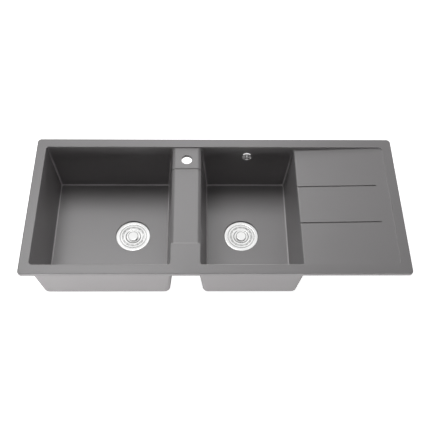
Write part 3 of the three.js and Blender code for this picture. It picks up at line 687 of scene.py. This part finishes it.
def drum(radius, low, high, steps=large_steps):
    """A closed drum about the Z axis between two heights."""
    bm = bmesh.new()
    bmesh.ops.create_cone(
        bm, cap_ends=True, segments=steps, radius1=radius, radius2=radius, depth=high - low,
        matrix=Matrix.Translation((0, 0, (high + low) / 2)),
    )
    return bm


def turned(bm, frame):
    bmesh.ops.transform(bm, matrix=frame, verts=bm.verts)
    return bm


cut(sink, moved(drum(tap_radius, tap_hole_foot, rim_top + past), tap_place), painted_reflection_stone)
floor_level = rim_top - bowl_depth
wastes = {}
for side in ("left", "right"):
    low, high = (Vector(corner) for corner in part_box(side + "_waste_flange"))
    place = Vector(((low.x + high.x) / 2, (low.y + high.y) / 2, floor_level))
    wastes[side] = Matrix.Translation(place)
    seat_radius = (high.x - low.x) / 2 + seat_spare
    for radius, down in ((seat_radius, seat_depth), (waste_hole, floor_thickness + past)):
        cut(sink, moved(drum(radius, -down, past), place))

overflow_down = 45 * MM
overflow_x = (small_x[0] + small_x[1]) / 2 - 1 * MM
overflow_y = half_opening - overflow_down * end_slope
overflow_hole = 12.5 * MM
overflow_place = Vector((overflow_x, overflow_y, rim_top - overflow_down))
overflow_turn = Matrix.Rotation(quarter - math.atan(end_slope), 4, "X")
overflow_frame = Matrix.Translation(overflow_place) @ overflow_turn
cut(sink, turned(drum(overflow_hole, -end_wall - past, past), overflow_frame))


def finished(piece, slot, node_name, at=None, body="sink", smooth=35):
    """Place a piece, shade it smooth up to an angle, and hang it on its body for its node."""
    mesh = piece.data
    if at:
        mesh.transform(at)
    for face in mesh.polygons:
        face.use_smooth = True
    mesh.set_sharp_from_angle(angle=math.radians(smooth))
    weights = piece.modifiers.new("weights", "WEIGHTED_NORMAL")
    weights.mode = "FACE_AREA"
    weights.keep_sharp = True
    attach(piece, body)
    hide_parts(node_name)
    if slot in ("pressed_steel", "polished_steel", "chrome_plate"):
        shiny.objects.link(piece)
        shiny.collection_objects[-1].light_linking.link_state = "EXCLUDE"
        glinting.objects.link(piece)


finished(sink, "composite", "sink_body")


# ---- Waste flange ----
# The strainer's flange, mouth and cup are pressed from one stainless sheet and polished on the
# lathe. It lies in the sunk seat of the bowl's floor, and the cup's floor is pierced for water.
sheet = 1.2 * MM
flange_radius = 56.5 * MM
flange_under = -2.1 * MM
flange_top = -0.9 * MM
mouth_radius = 43.6 * MM
lip_seat = -4 * MM
cup_radius = 40.5 * MM
cup_floor = -31 * MM
cup_fillet = 4 * MM
well_radius = 13 * MM
well_floor = -37 * MM
bolt_radius = 3.9 * MM
clearance = 0.4 * MM
drain_radius = 4.5 * MM
drain_circle = 25 * MM
drain_count = 10
turn_steps = 128
bend_steps = 6
merge_distance = 1e-7
steel_tone = (0.88, 0.88, 0.875, 1)
steel_roughness = 0.22
steel_brushed = 0.7
ring_height = 0.05 * MM
fine_ring_height = 0.02 * MM
ring_scale = 70
smear_scale = 70
ring_bump = 0.25
least_rough, most_rough = 0.75, 1.3
stained_share = 0.93


def spun(outline, steps=turn_steps):
    """A solid of revolution from the (radius, height) or (radius, height, rounding) corners of
    its half section."""
    bm, corners = upright_face([corner[:2] for corner in outline], 0)
    for vert, corner in zip(corners, outline):
        if len(corner) > 2:
            rounded(bm, [vert], corner[2], bend_steps)
    bmesh.ops.delete(bm, geom=bm.faces[:], context="FACES_ONLY")
    on_axis = [e for e in bm.edges if max(abs(v.co.x) for v in e.verts) < merge_distance]
    bmesh.ops.delete(bm, geom=on_axis, context="EDGES")
    bmesh.ops.spin(
        bm, geom=bm.verts[:] + bm.edges[:], cent=(0, 0, 0), axis=(0, 0, 1),
        angle=2 * math.pi, steps=steps, use_merge=True,
    )
    bmesh.ops.remove_doubles(bm, verts=bm.verts, dist=merge_distance)
    bmesh.ops.recalc_face_normals(bm, faces=bm.faces)
    return bm


def around(shape, count, first=0):
    """Copies of a bmesh spread round the Z axis, in one bmesh."""
    bmesh.ops.rotate(shape, verts=shape.verts, matrix=Matrix.Rotation(first, 3, "Z"))
    original = shape.verts[:] + shape.edges[:] + shape.faces[:]
    for angle in arc(2 * math.pi, count)[1:-1]:
        copy = bmesh.ops.duplicate(shape, geom=original)["geom"]
        verts = [part for part in copy if isinstance(part, bmesh.types.BMVert)]
        bmesh.ops.rotate(shape, verts=verts, matrix=Matrix.Rotation(angle, 3, "Z"))
    return shape


def lathe_steel(name, centre, tone, roughness, height, brushed=0.0):
    """Metal with the lathe's fine rings about the piece's own axis, which draw out its gloss."""
    material, add = new_material(name)
    where = add("TexCoord").outputs["Object"]
    centred = add("Mapping", Vector=where, Location=[-c for c in centre])
    rings = add(
        "TexWave", wave_type="RINGS", rings_direction="SPHERICAL", Vector=centred,
        Scale=ring_scale, Distortion=0.6, Detail=3.0, Detail_Scale=4.0,
    )
    smears = add("TexNoise", Vector=where, Scale=smear_scale, Detail=4.0)
    stained = (*(stained_share * c for c in tone[:3]), 1)
    colour = add("Mix", data_type="RGBA", Factor=smears, A=stained, B=tone)
    metal = {"Metallic": 1.0, "Anisotropic": brushed}
    if brushed:
        metal["Tangent"] = add("VectorMath", centred, (0, 0, 1), operation="CROSS_PRODUCT")
    sheen_span = (roughness * least_rough, roughness * most_rough)
    ridges = rings.outputs["Fac"]
    surface(add, colour, smears, sheen_span, ridges, ring_bump, height, **metal)
    return material


cup_outline = [
    (flange_radius, flange_top - 2 * MM, 0.2 * MM),
    (flange_radius, flange_top - 0.7 * MM, 0.5 * MM),
    (flange_radius - 2.5 * MM, flange_top, 1.2 * MM), (mouth_radius + 3 * MM, flange_top, 0.8 * MM),
    (mouth_radius + 0.6 * MM, flange_top - 0.5 * MM, 0.6 * MM),
    (mouth_radius, flange_top - 1.4 * MM, 0.4 * MM),
    (mouth_radius, lip_seat, 0.5 * MM), (cup_radius, lip_seat, 0.9 * MM),
    (cup_radius, cup_floor, cup_fillet), (well_radius + MM, cup_floor, 1 * MM),
    (well_radius, well_floor, 1.2 * MM), (bolt_radius + clearance, well_floor),
    (bolt_radius + clearance, well_floor - sheet),
    (well_radius + sheet, well_floor - sheet, 1.6 * MM),
    (well_radius + sheet, cup_floor - sheet, 0.8 * MM),
    (cup_radius + sheet, cup_floor - sheet, cup_fillet + sheet),
    (cup_radius + sheet, lip_seat - sheet, 0.6 * MM),
    (mouth_radius + sheet, lip_seat - sheet, 0.8 * MM),
    (mouth_radius + sheet, flange_under, 0.5 * MM),
    (flange_radius - sheet, flange_under, 0.3 * MM),
    (flange_radius - sheet, flange_top - 2 * MM, 0.2 * MM),
]
steels = {}
for side, to_bowl in wastes.items():
    place = to_bowl.translation
    steels[side] = lathe_steel(
        "pressed_steel_" + side, place, steel_tone, steel_roughness, ring_height, steel_brushed,
    )
    flange = as_object(moved(spun(cup_outline), place), side + "_flange", steels[side])
    hole = drum(drain_radius, cup_floor - 2 * sheet, cup_floor + sheet, small_steps)
    holes = around(moved(hole, (drain_circle, 0, 0)), drain_count)
    cut(flange, moved(holes, place))
    finished(flange, "pressed_steel", side + "_waste_flange", smooth=30)


# ---- Seals ----
# Flat rings of black rubber: one bedded under the flange in the bowl's floor, one between the
# floor's underside and the waste body, which the clamping bolt squeezes, and a washer between the
# waste body's foot and the tail pipe's flange.
rubber_tone = (0.018, 0.018, 0.019, 1)
bloom_scale = 26
bloom_share = 1.7
black_sheen = 0.08
black_bump = 0.4


def matt_black(name, tone, roughness, grain, depth):
    """A black moulded surface: fine grain, and a duller, dustier bloom in patches."""
    material, add = new_material(name)
    where = add("TexCoord").outputs["Object"]
    pores = add("TexNoise", Vector=where, Scale=grain, Detail=3.0)
    bloom = add("TexNoise", Vector=where, Scale=bloom_scale, Detail=5.0)
    dusty = (*(bloom_share * c for c in tone[:3]), 1)
    colour = add("Mix", data_type="RGBA", Factor=bloom, A=tone, B=dusty)
    sheen_span = (roughness - black_sheen, roughness + black_sheen)
    surface(add, colour, bloom, sheen_span, pores, black_bump, depth)
    return material


def flat_ring(inner, outer, low, high, rounding, steps=turn_steps):
    section = ((inner, low), (outer, low), (outer, high), (inner, high))
    return spun([(*corner, rounding) for corner in section], steps)


rubber = matt_black("seal_rubber", rubber_tone, roughness=0.72, grain=1500, depth=0.06 * MM)
for side, to_bowl in wastes.items():
    # Inner and outer radius, lower and upper face, and rounding, in millimetres.
    for name, node_name, *sizes in (
        ("_seal", "_flange_seal", 46, 54.7, -3.7, -2.4, 0.3),
        ("_gasket", "_lower_seal", 46, 54, -12.8, -10.3, 0.5),
        ("_washer", "_tail_washer", 20.8, 26.9, -57.8, -56.3, 0.3),
    ):
        seal = as_object(flat_ring(*(size * MM for size in sizes)), side + name, rubber)
        finished(seal, "seal_rubber", side + node_name, to_bowl)


# ---- Waste body ----
# A bell of black polypropylene clamped up under the floor, with a threaded foot. A hub on four
# spokes holds the brass insert. The small bowl's has a hole in its back for the overflow's inlet.
body_wall = 3 * MM
body_radius = 43.5 * MM
body_flange = 55 * MM
body_top = -13.1 * MM
body_flange_foot = body_top - 4 * MM
cone_top = -35.2 * MM
cone_foot = -49.2 * MM
foot_bore = 22.5 * MM
foot_radius = 27.5 * MM
body_foot = -56 * MM
hub_radius = 9.5 * MM
hub_top = -38.5 * MM
hub_foot = -54.5 * MM
spoke_top = -41.5 * MM
spoke_reach = 35.5 * MM
spoke_thickness = 3 * MM
spoke_count = 4
insert_radius = 6.6 * MM
insert_top = -44.5 * MM
inlet_hole = 6.9 * MM
inlet_level = -24.9 * MM
loose = 0.3 * MM
plastic_tone = (0.022, 0.022, 0.024, 1)
plastic = matt_black("black_plastic", plastic_tone, roughness=0.42, grain=900, depth=0.05 * MM)
to_back = Matrix.Translation((0, 0, inlet_level)) @ Matrix.Rotation(-quarter, 4, "X")
bell_outline = [
    (foot_bore, body_foot, 0.4 * MM), (foot_radius, body_foot, 0.6 * MM),
    (foot_radius, cone_foot - 1 * MM, 0.8 * MM),
    (body_radius + body_wall, cone_top - 1 * MM, 3 * MM),
    (body_radius + body_wall, body_flange_foot, 1 * MM), (body_flange, body_flange_foot, 0.6 * MM),
    (body_flange, body_top, 0.4 * MM), (body_radius, body_top, 0.3 * MM),
    (body_radius, cone_top, 2.5 * MM), (foot_bore, cone_foot, 1 * MM),
]
spoke_section = [
    (0, hub_foot), (foot_bore + 1.5 * MM, hub_foot), (foot_bore + 1.5 * MM, cone_foot - 0.3 * MM),
    (spoke_reach, spoke_top), (0, spoke_top),
]
for side, to_bowl in wastes.items():
    hub = as_object(drum(hub_radius, hub_foot, hub_top, middle_steps), "hub", plastic)
    for angle in arc(2 * math.pi, spoke_count)[:-1]:
        spoke, _ = upright_face(spoke_section, -spoke_thickness / 2)
        spoke.faces.ensure_lookup_table()
        verts = raised(spoke, spoke.faces[0], keep=True)[1]
        moved(spoke, (0, spoke_thickness, 0), verts)
        bmesh.ops.recalc_face_normals(spoke, faces=spoke.faces)
        joined(hub, turned(spoke, Matrix.Rotation(angle, 4, "Z")))
    for radius, top in (
        (bolt_radius + clearance, hub_top + MM), (insert_radius + loose, insert_top + loose),
    ):
        cut(hub, drum(radius, hub_foot - MM, top, small_steps))
    bell = as_object(spun(bell_outline), side + "_bell", plastic)
    combined(bell, hub, "UNION")
    if side == "right":
        bore = drum(inlet_hole, body_radius - 3 * MM, body_radius + 8 * MM, middle_steps)
        cut(bell, turned(bore, to_back))
    finished(bell, "black_plastic", side + "_waste_body", to_bowl, smooth=30)


# ---- Tail pipe ----
# A short moulded pipe hangs by its flange under the washer. The trap's nut runs on the thread at
# its lower end, which is cut as one helical ridge.
tail_bore = 20.5 * MM
tail_radius = 23.9 * MM
tail_top = -58.1 * MM
tail_flange = 27.2 * MM
tail_flange_foot = -60.9 * MM
tail_foot = -80.1 * MM
thread_top = -66 * MM
thread_foot = tail_foot + 1.5 * MM
thread_depth = 0.9 * MM
thread_pitch = 2.3 * MM
thread_steps = 48
thread_turns = int((thread_top - thread_foot) / thread_pitch) - 1
tail_root = tail_radius - thread_depth
sunk_root = tail_root - 0.3 * MM
tail_outline = [
    (tail_bore, tail_foot, 0.3 * MM), (tail_root, tail_foot, 0.5 * MM),
    (tail_root, thread_top, 0.3 * MM), (tail_radius, thread_top + 0.6 * MM, 0.2 * MM),
    (tail_radius, tail_flange_foot, 0.5 * MM), (tail_flange, tail_flange_foot, 0.4 * MM),
    (tail_flange, tail_top, 0.4 * MM), (tail_bore, tail_top, 0.3 * MM),
]
thread_section = [
    (sunk_root, 0), (tail_root, 0), (tail_radius, 0.35), (tail_radius, 0.5),
    (tail_root, 0.85), (sunk_root, 0.85),
]
thread_start = [(radius, thread_foot + thread_pitch * share) for radius, share in thread_section]
for side, to_bowl in wastes.items():
    tail = as_object(spun(tail_outline), side + "_tail", plastic)
    thread, _ = upright_face(thread_start, 0)
    bmesh.ops.spin(
        thread, geom=thread.faces[:], cent=(0, 0, 0), axis=(0, 0, 1),
        angle=2 * math.pi * thread_turns, steps=thread_steps * thread_turns,
        dvec=(0, 0, thread_pitch / thread_steps), use_duplicate=False,
    )
    bmesh.ops.recalc_face_normals(thread, faces=thread.faces)
    joined(tail, thread)
    finished(tail, "black_plastic", side + "_tail_pipe", to_bowl, smooth=30)


# ---- Coupling nut ----
# A twelve-sided hand nut runs on the bell's foot. The lip inside its lower end lifts the tail
# pipe's flange up against the washer.
nut_corner = 32.2 * MM
nut_sides = 12
coupling_foot = -63.7 * MM
coupling_top = -51 * MM
coupling_lip = -61.2 * MM
coupling_chamfer = 1.6 * MM


def chamfered_drum(radius, low, high, inwards, upwards, rounding=(), steps=turn_steps):
    """A solid of revolution that turns the corners off a nut; an empty rounding leaves it sharp."""
    return spun([
        (0, low), (radius - inwards, low, *rounding), (radius, low + upwards, *rounding),
        (radius, high - upwards, *rounding), (radius - inwards, high, *rounding), (0, high),
    ], steps)


for side, to_bowl in wastes.items():
    coupling = drum(nut_corner, coupling_foot, coupling_top, nut_sides)
    coupling = as_object(coupling, side + "_coupling", plastic)
    chamfers = chamfered_drum(
        nut_corner, coupling_foot, coupling_top, coupling_chamfer, coupling_chamfer, (0.5 * MM,),
    )
    combined(coupling, as_object(chamfers, "chamfers", plastic), "INTERSECT")
    cut(coupling, spun([
        (0, coupling_foot - MM), (tail_radius + loose, coupling_foot - MM),
        (tail_radius + loose, coupling_lip), (foot_radius + loose, coupling_lip),
        (foot_radius + loose, coupling_top + MM), (0, coupling_top + MM),
    ]))
    finished(coupling, "black_plastic", side + "_coupling_nut", to_bowl, smooth=20)


# ---- Overflow inlet ----
# A spigot for the overflow's hose stands out of the back of the small bowl's bell, held up to its
# narrow flange. Saw-tooth ribs keep the hose on.
spigot_radius = 6.6 * MM
spigot_bore = 4.8 * MM
rib_depth = 0.8 * MM
rib_count = 4


def ribbed_pipe(start, end, ribs_from):
    """A hose spigot along +Z whose last part carries saw-tooth ribs."""
    step = (end - ribs_from) / rib_count
    root = spigot_radius - rib_depth
    outline = [
        (spigot_bore, start), (spigot_radius, start, 0.3 * MM),
        (spigot_radius, ribs_from - 0.8 * MM),
    ]
    for i in range(rib_count):
        foot = ribs_from + i * step
        outline += [(root, foot), (spigot_radius, foot + 0.25 * step, 0.1 * MM)]
    outline += [(root, end, 0.2 * MM), (spigot_bore, end, 0.2 * MM)]
    return spun(outline, middle_steps)


inlet = as_object(ribbed_pipe(42.5 * MM, 68.5 * MM, 52 * MM), "inlet", plastic)
joined(inlet, flat_ring(
    spigot_bore + MM, 7.5 * MM, 46.8 * MM, 48.8 * MM, 0.2 * MM, middle_steps,
))
to_inlet = wastes["right"] @ to_back
finished(inlet, "black_plastic", "overflow_inlet", to_inlet, smooth=30)


# ---- Clamping bolt and insert ----
# A stainless bolt through the cup's centre well pulls the waste body up against the floor. Its
# thread runs in a brass insert moulded into the hub. The head has a crossed slot.
bolt_head = 7.5 * MM
bolt_under = -36.7 * MM
bolt_head_top = -33.6 * MM
bolt_tip = -56.5 * MM
bolt_slot = (9 * MM, 1.3 * MM, 3 * MM)
bolt_steps = 64
brass_tone = (0.71, 0.56, 0.26, 1)
brass = lathe_steel("insert_brass", Vector((0, 0, 0)), brass_tone, 0.32, fine_ring_height)


def block(size, place):
    """A cuboid about a place."""
    bm = bmesh.new()
    bmesh.ops.create_cube(bm, size=1)
    bmesh.ops.scale(bm, vec=size, verts=bm.verts)
    return moved(bm, place)


def cross_slotted(head, size, level):
    """Cut a crossed slot into the head of a bolt or screw."""
    for angle in (0, quarter):
        cut(head, turned(block(size, (0, 0, level)), Matrix.Rotation(angle, 4, "Z")))


for side, to_bowl in wastes.items():
    bolt = as_object(spun([
        (0, bolt_tip), (bolt_radius - 0.8 * MM, bolt_tip), (bolt_radius, bolt_tip + 0.8 * MM),
        (bolt_radius, bolt_under), (bolt_head, bolt_under, 0.3 * MM),
        (bolt_head, bolt_under + 1.5 * MM, 0.8 * MM), (bolt_head * 0.6, bolt_head_top, 1.2 * MM),
        (0, bolt_head_top),
    ], bolt_steps), side + "_bolt", steels[side])
    cross_slotted(bolt, bolt_slot, bolt_head_top)
    finished(bolt, "pressed_steel", side + "_centre_bolt", to_bowl)
    insert = flat_ring(
        bolt_radius + loose, insert_radius, hub_foot + loose, insert_top, 0.3 * MM, middle_steps,
    )
    insert = as_object(insert, side + "_insert", brass)
    finished(insert, "insert_brass", side + "_thread_insert", to_bowl)


# ---- Lift-out strainer ----
# One thin pressed sheet hangs by its lip in the flange's mouth. Water runs off through slots in
# the trough inside the lip, and a shallow dish in the middle holds the knob.
strainer_sheet = 0.9 * MM
lip_under = -3.7 * MM
lip_top = lip_under + strainer_sheet
lip_radius = 42.6 * MM
trough_outer = 36.8 * MM
trough_inner = 32.4 * MM
trough_floor = -7.2 * MM
trough_under = trough_floor - strainer_sheet
plateau = -3.4 * MM
plateau_under = plateau - strainer_sheet
dish_radius = 25.5 * MM
dish_foot = dish_radius - 3 * MM
dish_floor = -5.8 * MM
dish_under = dish_floor - strainer_sheet
wall_lean = 0.4 * MM
stem_radius = 3 * MM
stem_hole = stem_radius + clearance
slot_count = 12
slot_size = (0.9 * MM, 10.4 * MM, 4 * strainer_sheet)
slot_place = ((trough_outer + trough_inner) / 2, 0, trough_floor)
strainer_outline = [
    (lip_radius, lip_under, 0.2 * MM), (lip_radius, lip_top, 0.4 * MM),
    (trough_outer, lip_top, 0.9 * MM), (trough_outer - wall_lean, trough_floor, 0.6 * MM),
    (trough_inner + wall_lean, trough_floor, 0.6 * MM), (trough_inner, plateau, 0.9 * MM),
    (dish_radius, plateau, 1.2 * MM), (dish_foot, dish_floor, 1.2 * MM),
    (stem_hole, dish_floor), (stem_hole, dish_under),
    (dish_foot + wall_lean, dish_under, 1.2 * MM),
    (dish_radius + wall_lean, plateau_under, 1.2 * MM),
    (trough_inner - strainer_sheet, plateau_under, 0.4 * MM),
    (trough_inner - strainer_sheet + wall_lean, trough_under, 1 * MM),
    (trough_outer + strainer_sheet - wall_lean, trough_under, 1 * MM),
    (trough_outer + strainer_sheet, lip_under, 0.5 * MM),
]
for side, to_bowl in wastes.items():
    strainer = as_object(spun(strainer_outline), side + "_strainer_plate", steels[side])
    slot = block(slot_size, slot_place)
    upright = [e for e in slot.edges if abs(e.verts[0].co.z - e.verts[1].co.z) > MM]
    rounded(slot, upright, slot_size[0] * 0.49, bend_steps, "EDGES")
    cut(strainer, around(slot, slot_count))
    finished(strainer, "pressed_steel", side + "_strainer", to_bowl, side + "_strainer", smooth=30)


# ---- Spacer ----
# A plain tube of stainless steel, cut to length and slid on the knob's stem between the strainer's
# dish and the plug, keeps the plug down in the cup.
plug_top = -25 * MM
tube_radius = 6 * MM
for side, to_bowl in wastes.items():
    tube = flat_ring(
        stem_radius + loose, tube_radius, plug_top + loose, dish_under - loose, 0.2 * MM,
        middle_steps,
    )
    tube = as_object(tube, side + "_tube", steels[side])
    finished(tube, "pressed_steel", side + "_spacer", to_bowl, side + "_strainer")


# ---- Strainer plug ----
# A bell of soft black rubber on the stem. Pushed down, its skirt closes on the cup's floor outside
# the drain holes, and water stays in the bowl.
plug_radius = 33 * MM
plug_under = -27.3 * MM
skirt_foot = -30.7 * MM
for side, to_bowl in wastes.items():
    plug = as_object(spun([
        (stem_hole, plug_top), (plug_radius - 1.5 * MM, plug_top, 1 * MM),
        (plug_radius, plug_top - 1.5 * MM, 1 * MM), (plug_radius, skirt_foot, 0.4 * MM),
        (plug_radius - 1.5 * MM, skirt_foot, 0.5 * MM),
        (plug_radius - 2.6 * MM, plug_under, 0.8 * MM), (stem_hole, plug_under),
    ]), side + "_plug", rubber)
    finished(plug, "seal_rubber", side + "_strainer_plug", to_bowl, side + "_strainer")


# ---- Knob ----
# The knob that lifts the strainer is turned from stainless bar and polished, with its stem in one
# piece. Its side is undercut, so that two fingers hold it.
knob_radius = 17 * MM
knob_foot_radius = 13 * MM
knob_top = 0.6 * MM
knob_rim = -1 * MM
knob_side = 1.2 * MM
knob_foot = dish_floor + loose
stem_tip = -31.8 * MM
bright_tone = (0.92, 0.92, 0.915, 1)
bright_roughness = 0.1
for side, to_bowl in wastes.items():
    polished = lathe_steel(
        "polished_steel_" + side, to_bowl.translation, bright_tone, bright_roughness,
        fine_ring_height,
    )
    knob = as_object(spun([
        (0, stem_tip), (stem_radius - 0.6 * MM, stem_tip), (stem_radius, stem_tip + 0.6 * MM),
        (stem_radius, knob_foot), (knob_foot_radius, knob_foot, 0.4 * MM),
        (knob_radius, knob_rim - knob_side, 0.5 * MM), (knob_radius, knob_rim, 0.4 * MM),
        (knob_radius - 1.6 * MM, knob_top - 0.4 * MM, 0.9 * MM), (9.4 * MM, knob_top, 1.5 * MM),
        (0, knob_top + 0.2 * MM),
    ]), side + "_lift_knob", polished)
    finished(knob, "polished_steel", side + "_knob", to_bowl, side + "_strainer")


# ---- Plug nut ----
# A plain hexagon nut of stainless steel, with its corners turned off on both faces, holds plug,
# spacer and strainer on the stem.
stem_nut = 6.5 * MM
nut_high = -27.6 * MM
nut_low = -31.2 * MM
for side, to_bowl in wastes.items():
    nut = as_object(drum(stem_nut, nut_low, nut_high, 6), side + "_nut", steels[side])
    chamfers = chamfered_drum(
        stem_nut, nut_low, nut_high, 0.9 * MM, 0.5 * MM, steps=middle_steps,
    )
    combined(nut, as_object(chamfers, "chamfers", steels[side]), "INTERSECT")
    cut(nut, drum(stem_radius + loose, nut_low - MM, nut_high + MM, small_steps))
    finished(nut, "pressed_steel", side + "_plug_nut", to_bowl, side + "_strainer", smooth=20)


# ---- Overflow rosette and screw ----
# A chromed pressing covers the overflow hole in the small bowl's back wall, with four round
# inlets round a chromed screw. The screw pulls it and the elbow behind the wall together.
rosette_radius = 17.5 * MM
rosette_foot = 0.3 * MM
rosette_crown = 4.3 * MM
rosette_face = rosette_crown - 1 * MM
rosette_back = rosette_crown - 2.4 * MM
rosette_dish = 5.2 * MM
rosette_collar = 11.5 * MM
collar_end = -2.5 * MM
inlet_radius = 2.6 * MM
inlet_circle = 7.6 * MM
inlet_count = 4
screw_radius = 2.4 * MM
screw_hole = screw_radius + clearance
screw_head = 4.2 * MM
screw_under = 3.4 * MM
screw_top = screw_under + 1.8 * MM
screw_tip = -21 * MM
screw_slot = (4.6 * MM, 0.9 * MM, 2 * MM)
chrome_tone = (0.86, 0.86, 0.86, 1)
chrome = lathe_steel("chrome_plate", overflow_place, chrome_tone, 0.08, 0.0)
rosette = as_object(spun([
    (rosette_radius, rosette_foot, 0.2 * MM), (rosette_radius, rosette_foot + 1.2 * MM, 0.6 * MM),
    (rosette_radius * 0.9, rosette_crown - 0.4 * MM, 1.2 * MM),
    (rosette_radius * 0.78, rosette_crown, 0.8 * MM),
    (rosette_radius * 0.68, rosette_face, 0.6 * MM),
    (rosette_dish + 0.8 * MM, rosette_face, 0.5 * MM),
    (rosette_dish, rosette_crown - 1.2 * MM), (screw_hole, rosette_crown - 1.2 * MM),
    (screw_hole, rosette_back), (rosette_collar - sheet, rosette_back, 0.4 * MM),
    (rosette_collar - sheet, collar_end, 0.2 * MM), (rosette_collar, collar_end, 0.2 * MM),
    (rosette_collar, rosette_foot),
], large_steps), "rosette", chrome)
inlets = moved(drum(inlet_radius, -past, rosette_crown + past, small_steps), (inlet_circle, 0, 0))
cut(rosette, around(inlets, inlet_count, math.pi / inlet_count))
finished(rosette, "chrome_plate", "overflow_rosette", overflow_frame, smooth=30)

screw = as_object(spun([
    (0, screw_tip), (screw_radius - 0.5 * MM, screw_tip), (screw_radius, screw_tip + 0.8 * MM),
    (screw_radius, screw_under), (screw_head, screw_under, 0.2 * MM),
    (screw_head - 0.4 * MM, screw_under + 1.3 * MM, 0.5 * MM), (0, screw_top),
], bolt_steps), "screw", chrome)
cross_slotted(screw, screw_slot, screw_top)
finished(screw, "chrome_plate", "overflow_screw", overflow_frame)


# ---- Overflow elbow ----
# Behind the wall a black polypropylene elbow, sealed by a rubber ring, takes the water down
# through a ribbed spigot. The screw's thread runs in a brass insert in the elbow's hub.
elbow_radius = 19.5 * MM
elbow_wall = 2.6 * MM
elbow_top = -10.6 * MM
elbow_foot = -24.6 * MM
elbow_floor = elbow_foot + elbow_wall
elbow_hub = 5.6 * MM
elbow_spigot_end = 41.5 * MM
gasket_low = -10.3 * MM
gasket_high = -8.3 * MM
small_insert = 4 * MM
small_insert_low = -17.6 * MM
elbow_middle = (elbow_top + elbow_foot) / 2
chamber = elbow_radius - elbow_wall
elbow = as_object(spun([
    (0, elbow_foot), (elbow_radius, elbow_foot, 2 * MM), (elbow_radius, elbow_top, 0.4 * MM),
    (chamber, elbow_top, 0.3 * MM), (chamber, elbow_floor, 1 * MM), (0, elbow_floor),
]), "elbow", plastic)
downwards = Matrix.Translation((0, 0, elbow_middle)) @ Matrix.Rotation(quarter, 4, "X")
pipe = ribbed_pipe(chamber + MM, elbow_spigot_end, elbow_radius + 5 * MM)
joined(elbow, turned(pipe, downwards))
bore = drum(spigot_bore, elbow_hub + MM, elbow_spigot_end + MM, middle_steps)
cut(elbow, turned(bore, downwards))
joined(elbow, drum(elbow_hub, elbow_foot + MM, elbow_top, middle_steps))
cut(elbow, drum(screw_hole, elbow_floor, elbow_top + MM, small_steps))
cut(elbow, drum(small_insert + loose, small_insert_low - loose, elbow_top + MM, small_steps))
finished(elbow, "black_plastic", "overflow_elbow", overflow_frame, smooth=30)

gasket = flat_ring(13.5 * MM, 19 * MM, gasket_low, gasket_high, 0.4 * MM)
finished(as_object(gasket, "gasket", rubber), "seal_rubber", "overflow_gasket", overflow_frame)
insert = flat_ring(
    screw_radius + loose, small_insert, small_insert_low, elbow_top, 0.2 * MM, middle_steps,
)
insert = as_object(insert, "insert", brass)
finished(insert, "insert_brass", "overflow_thread_insert", overflow_frame)
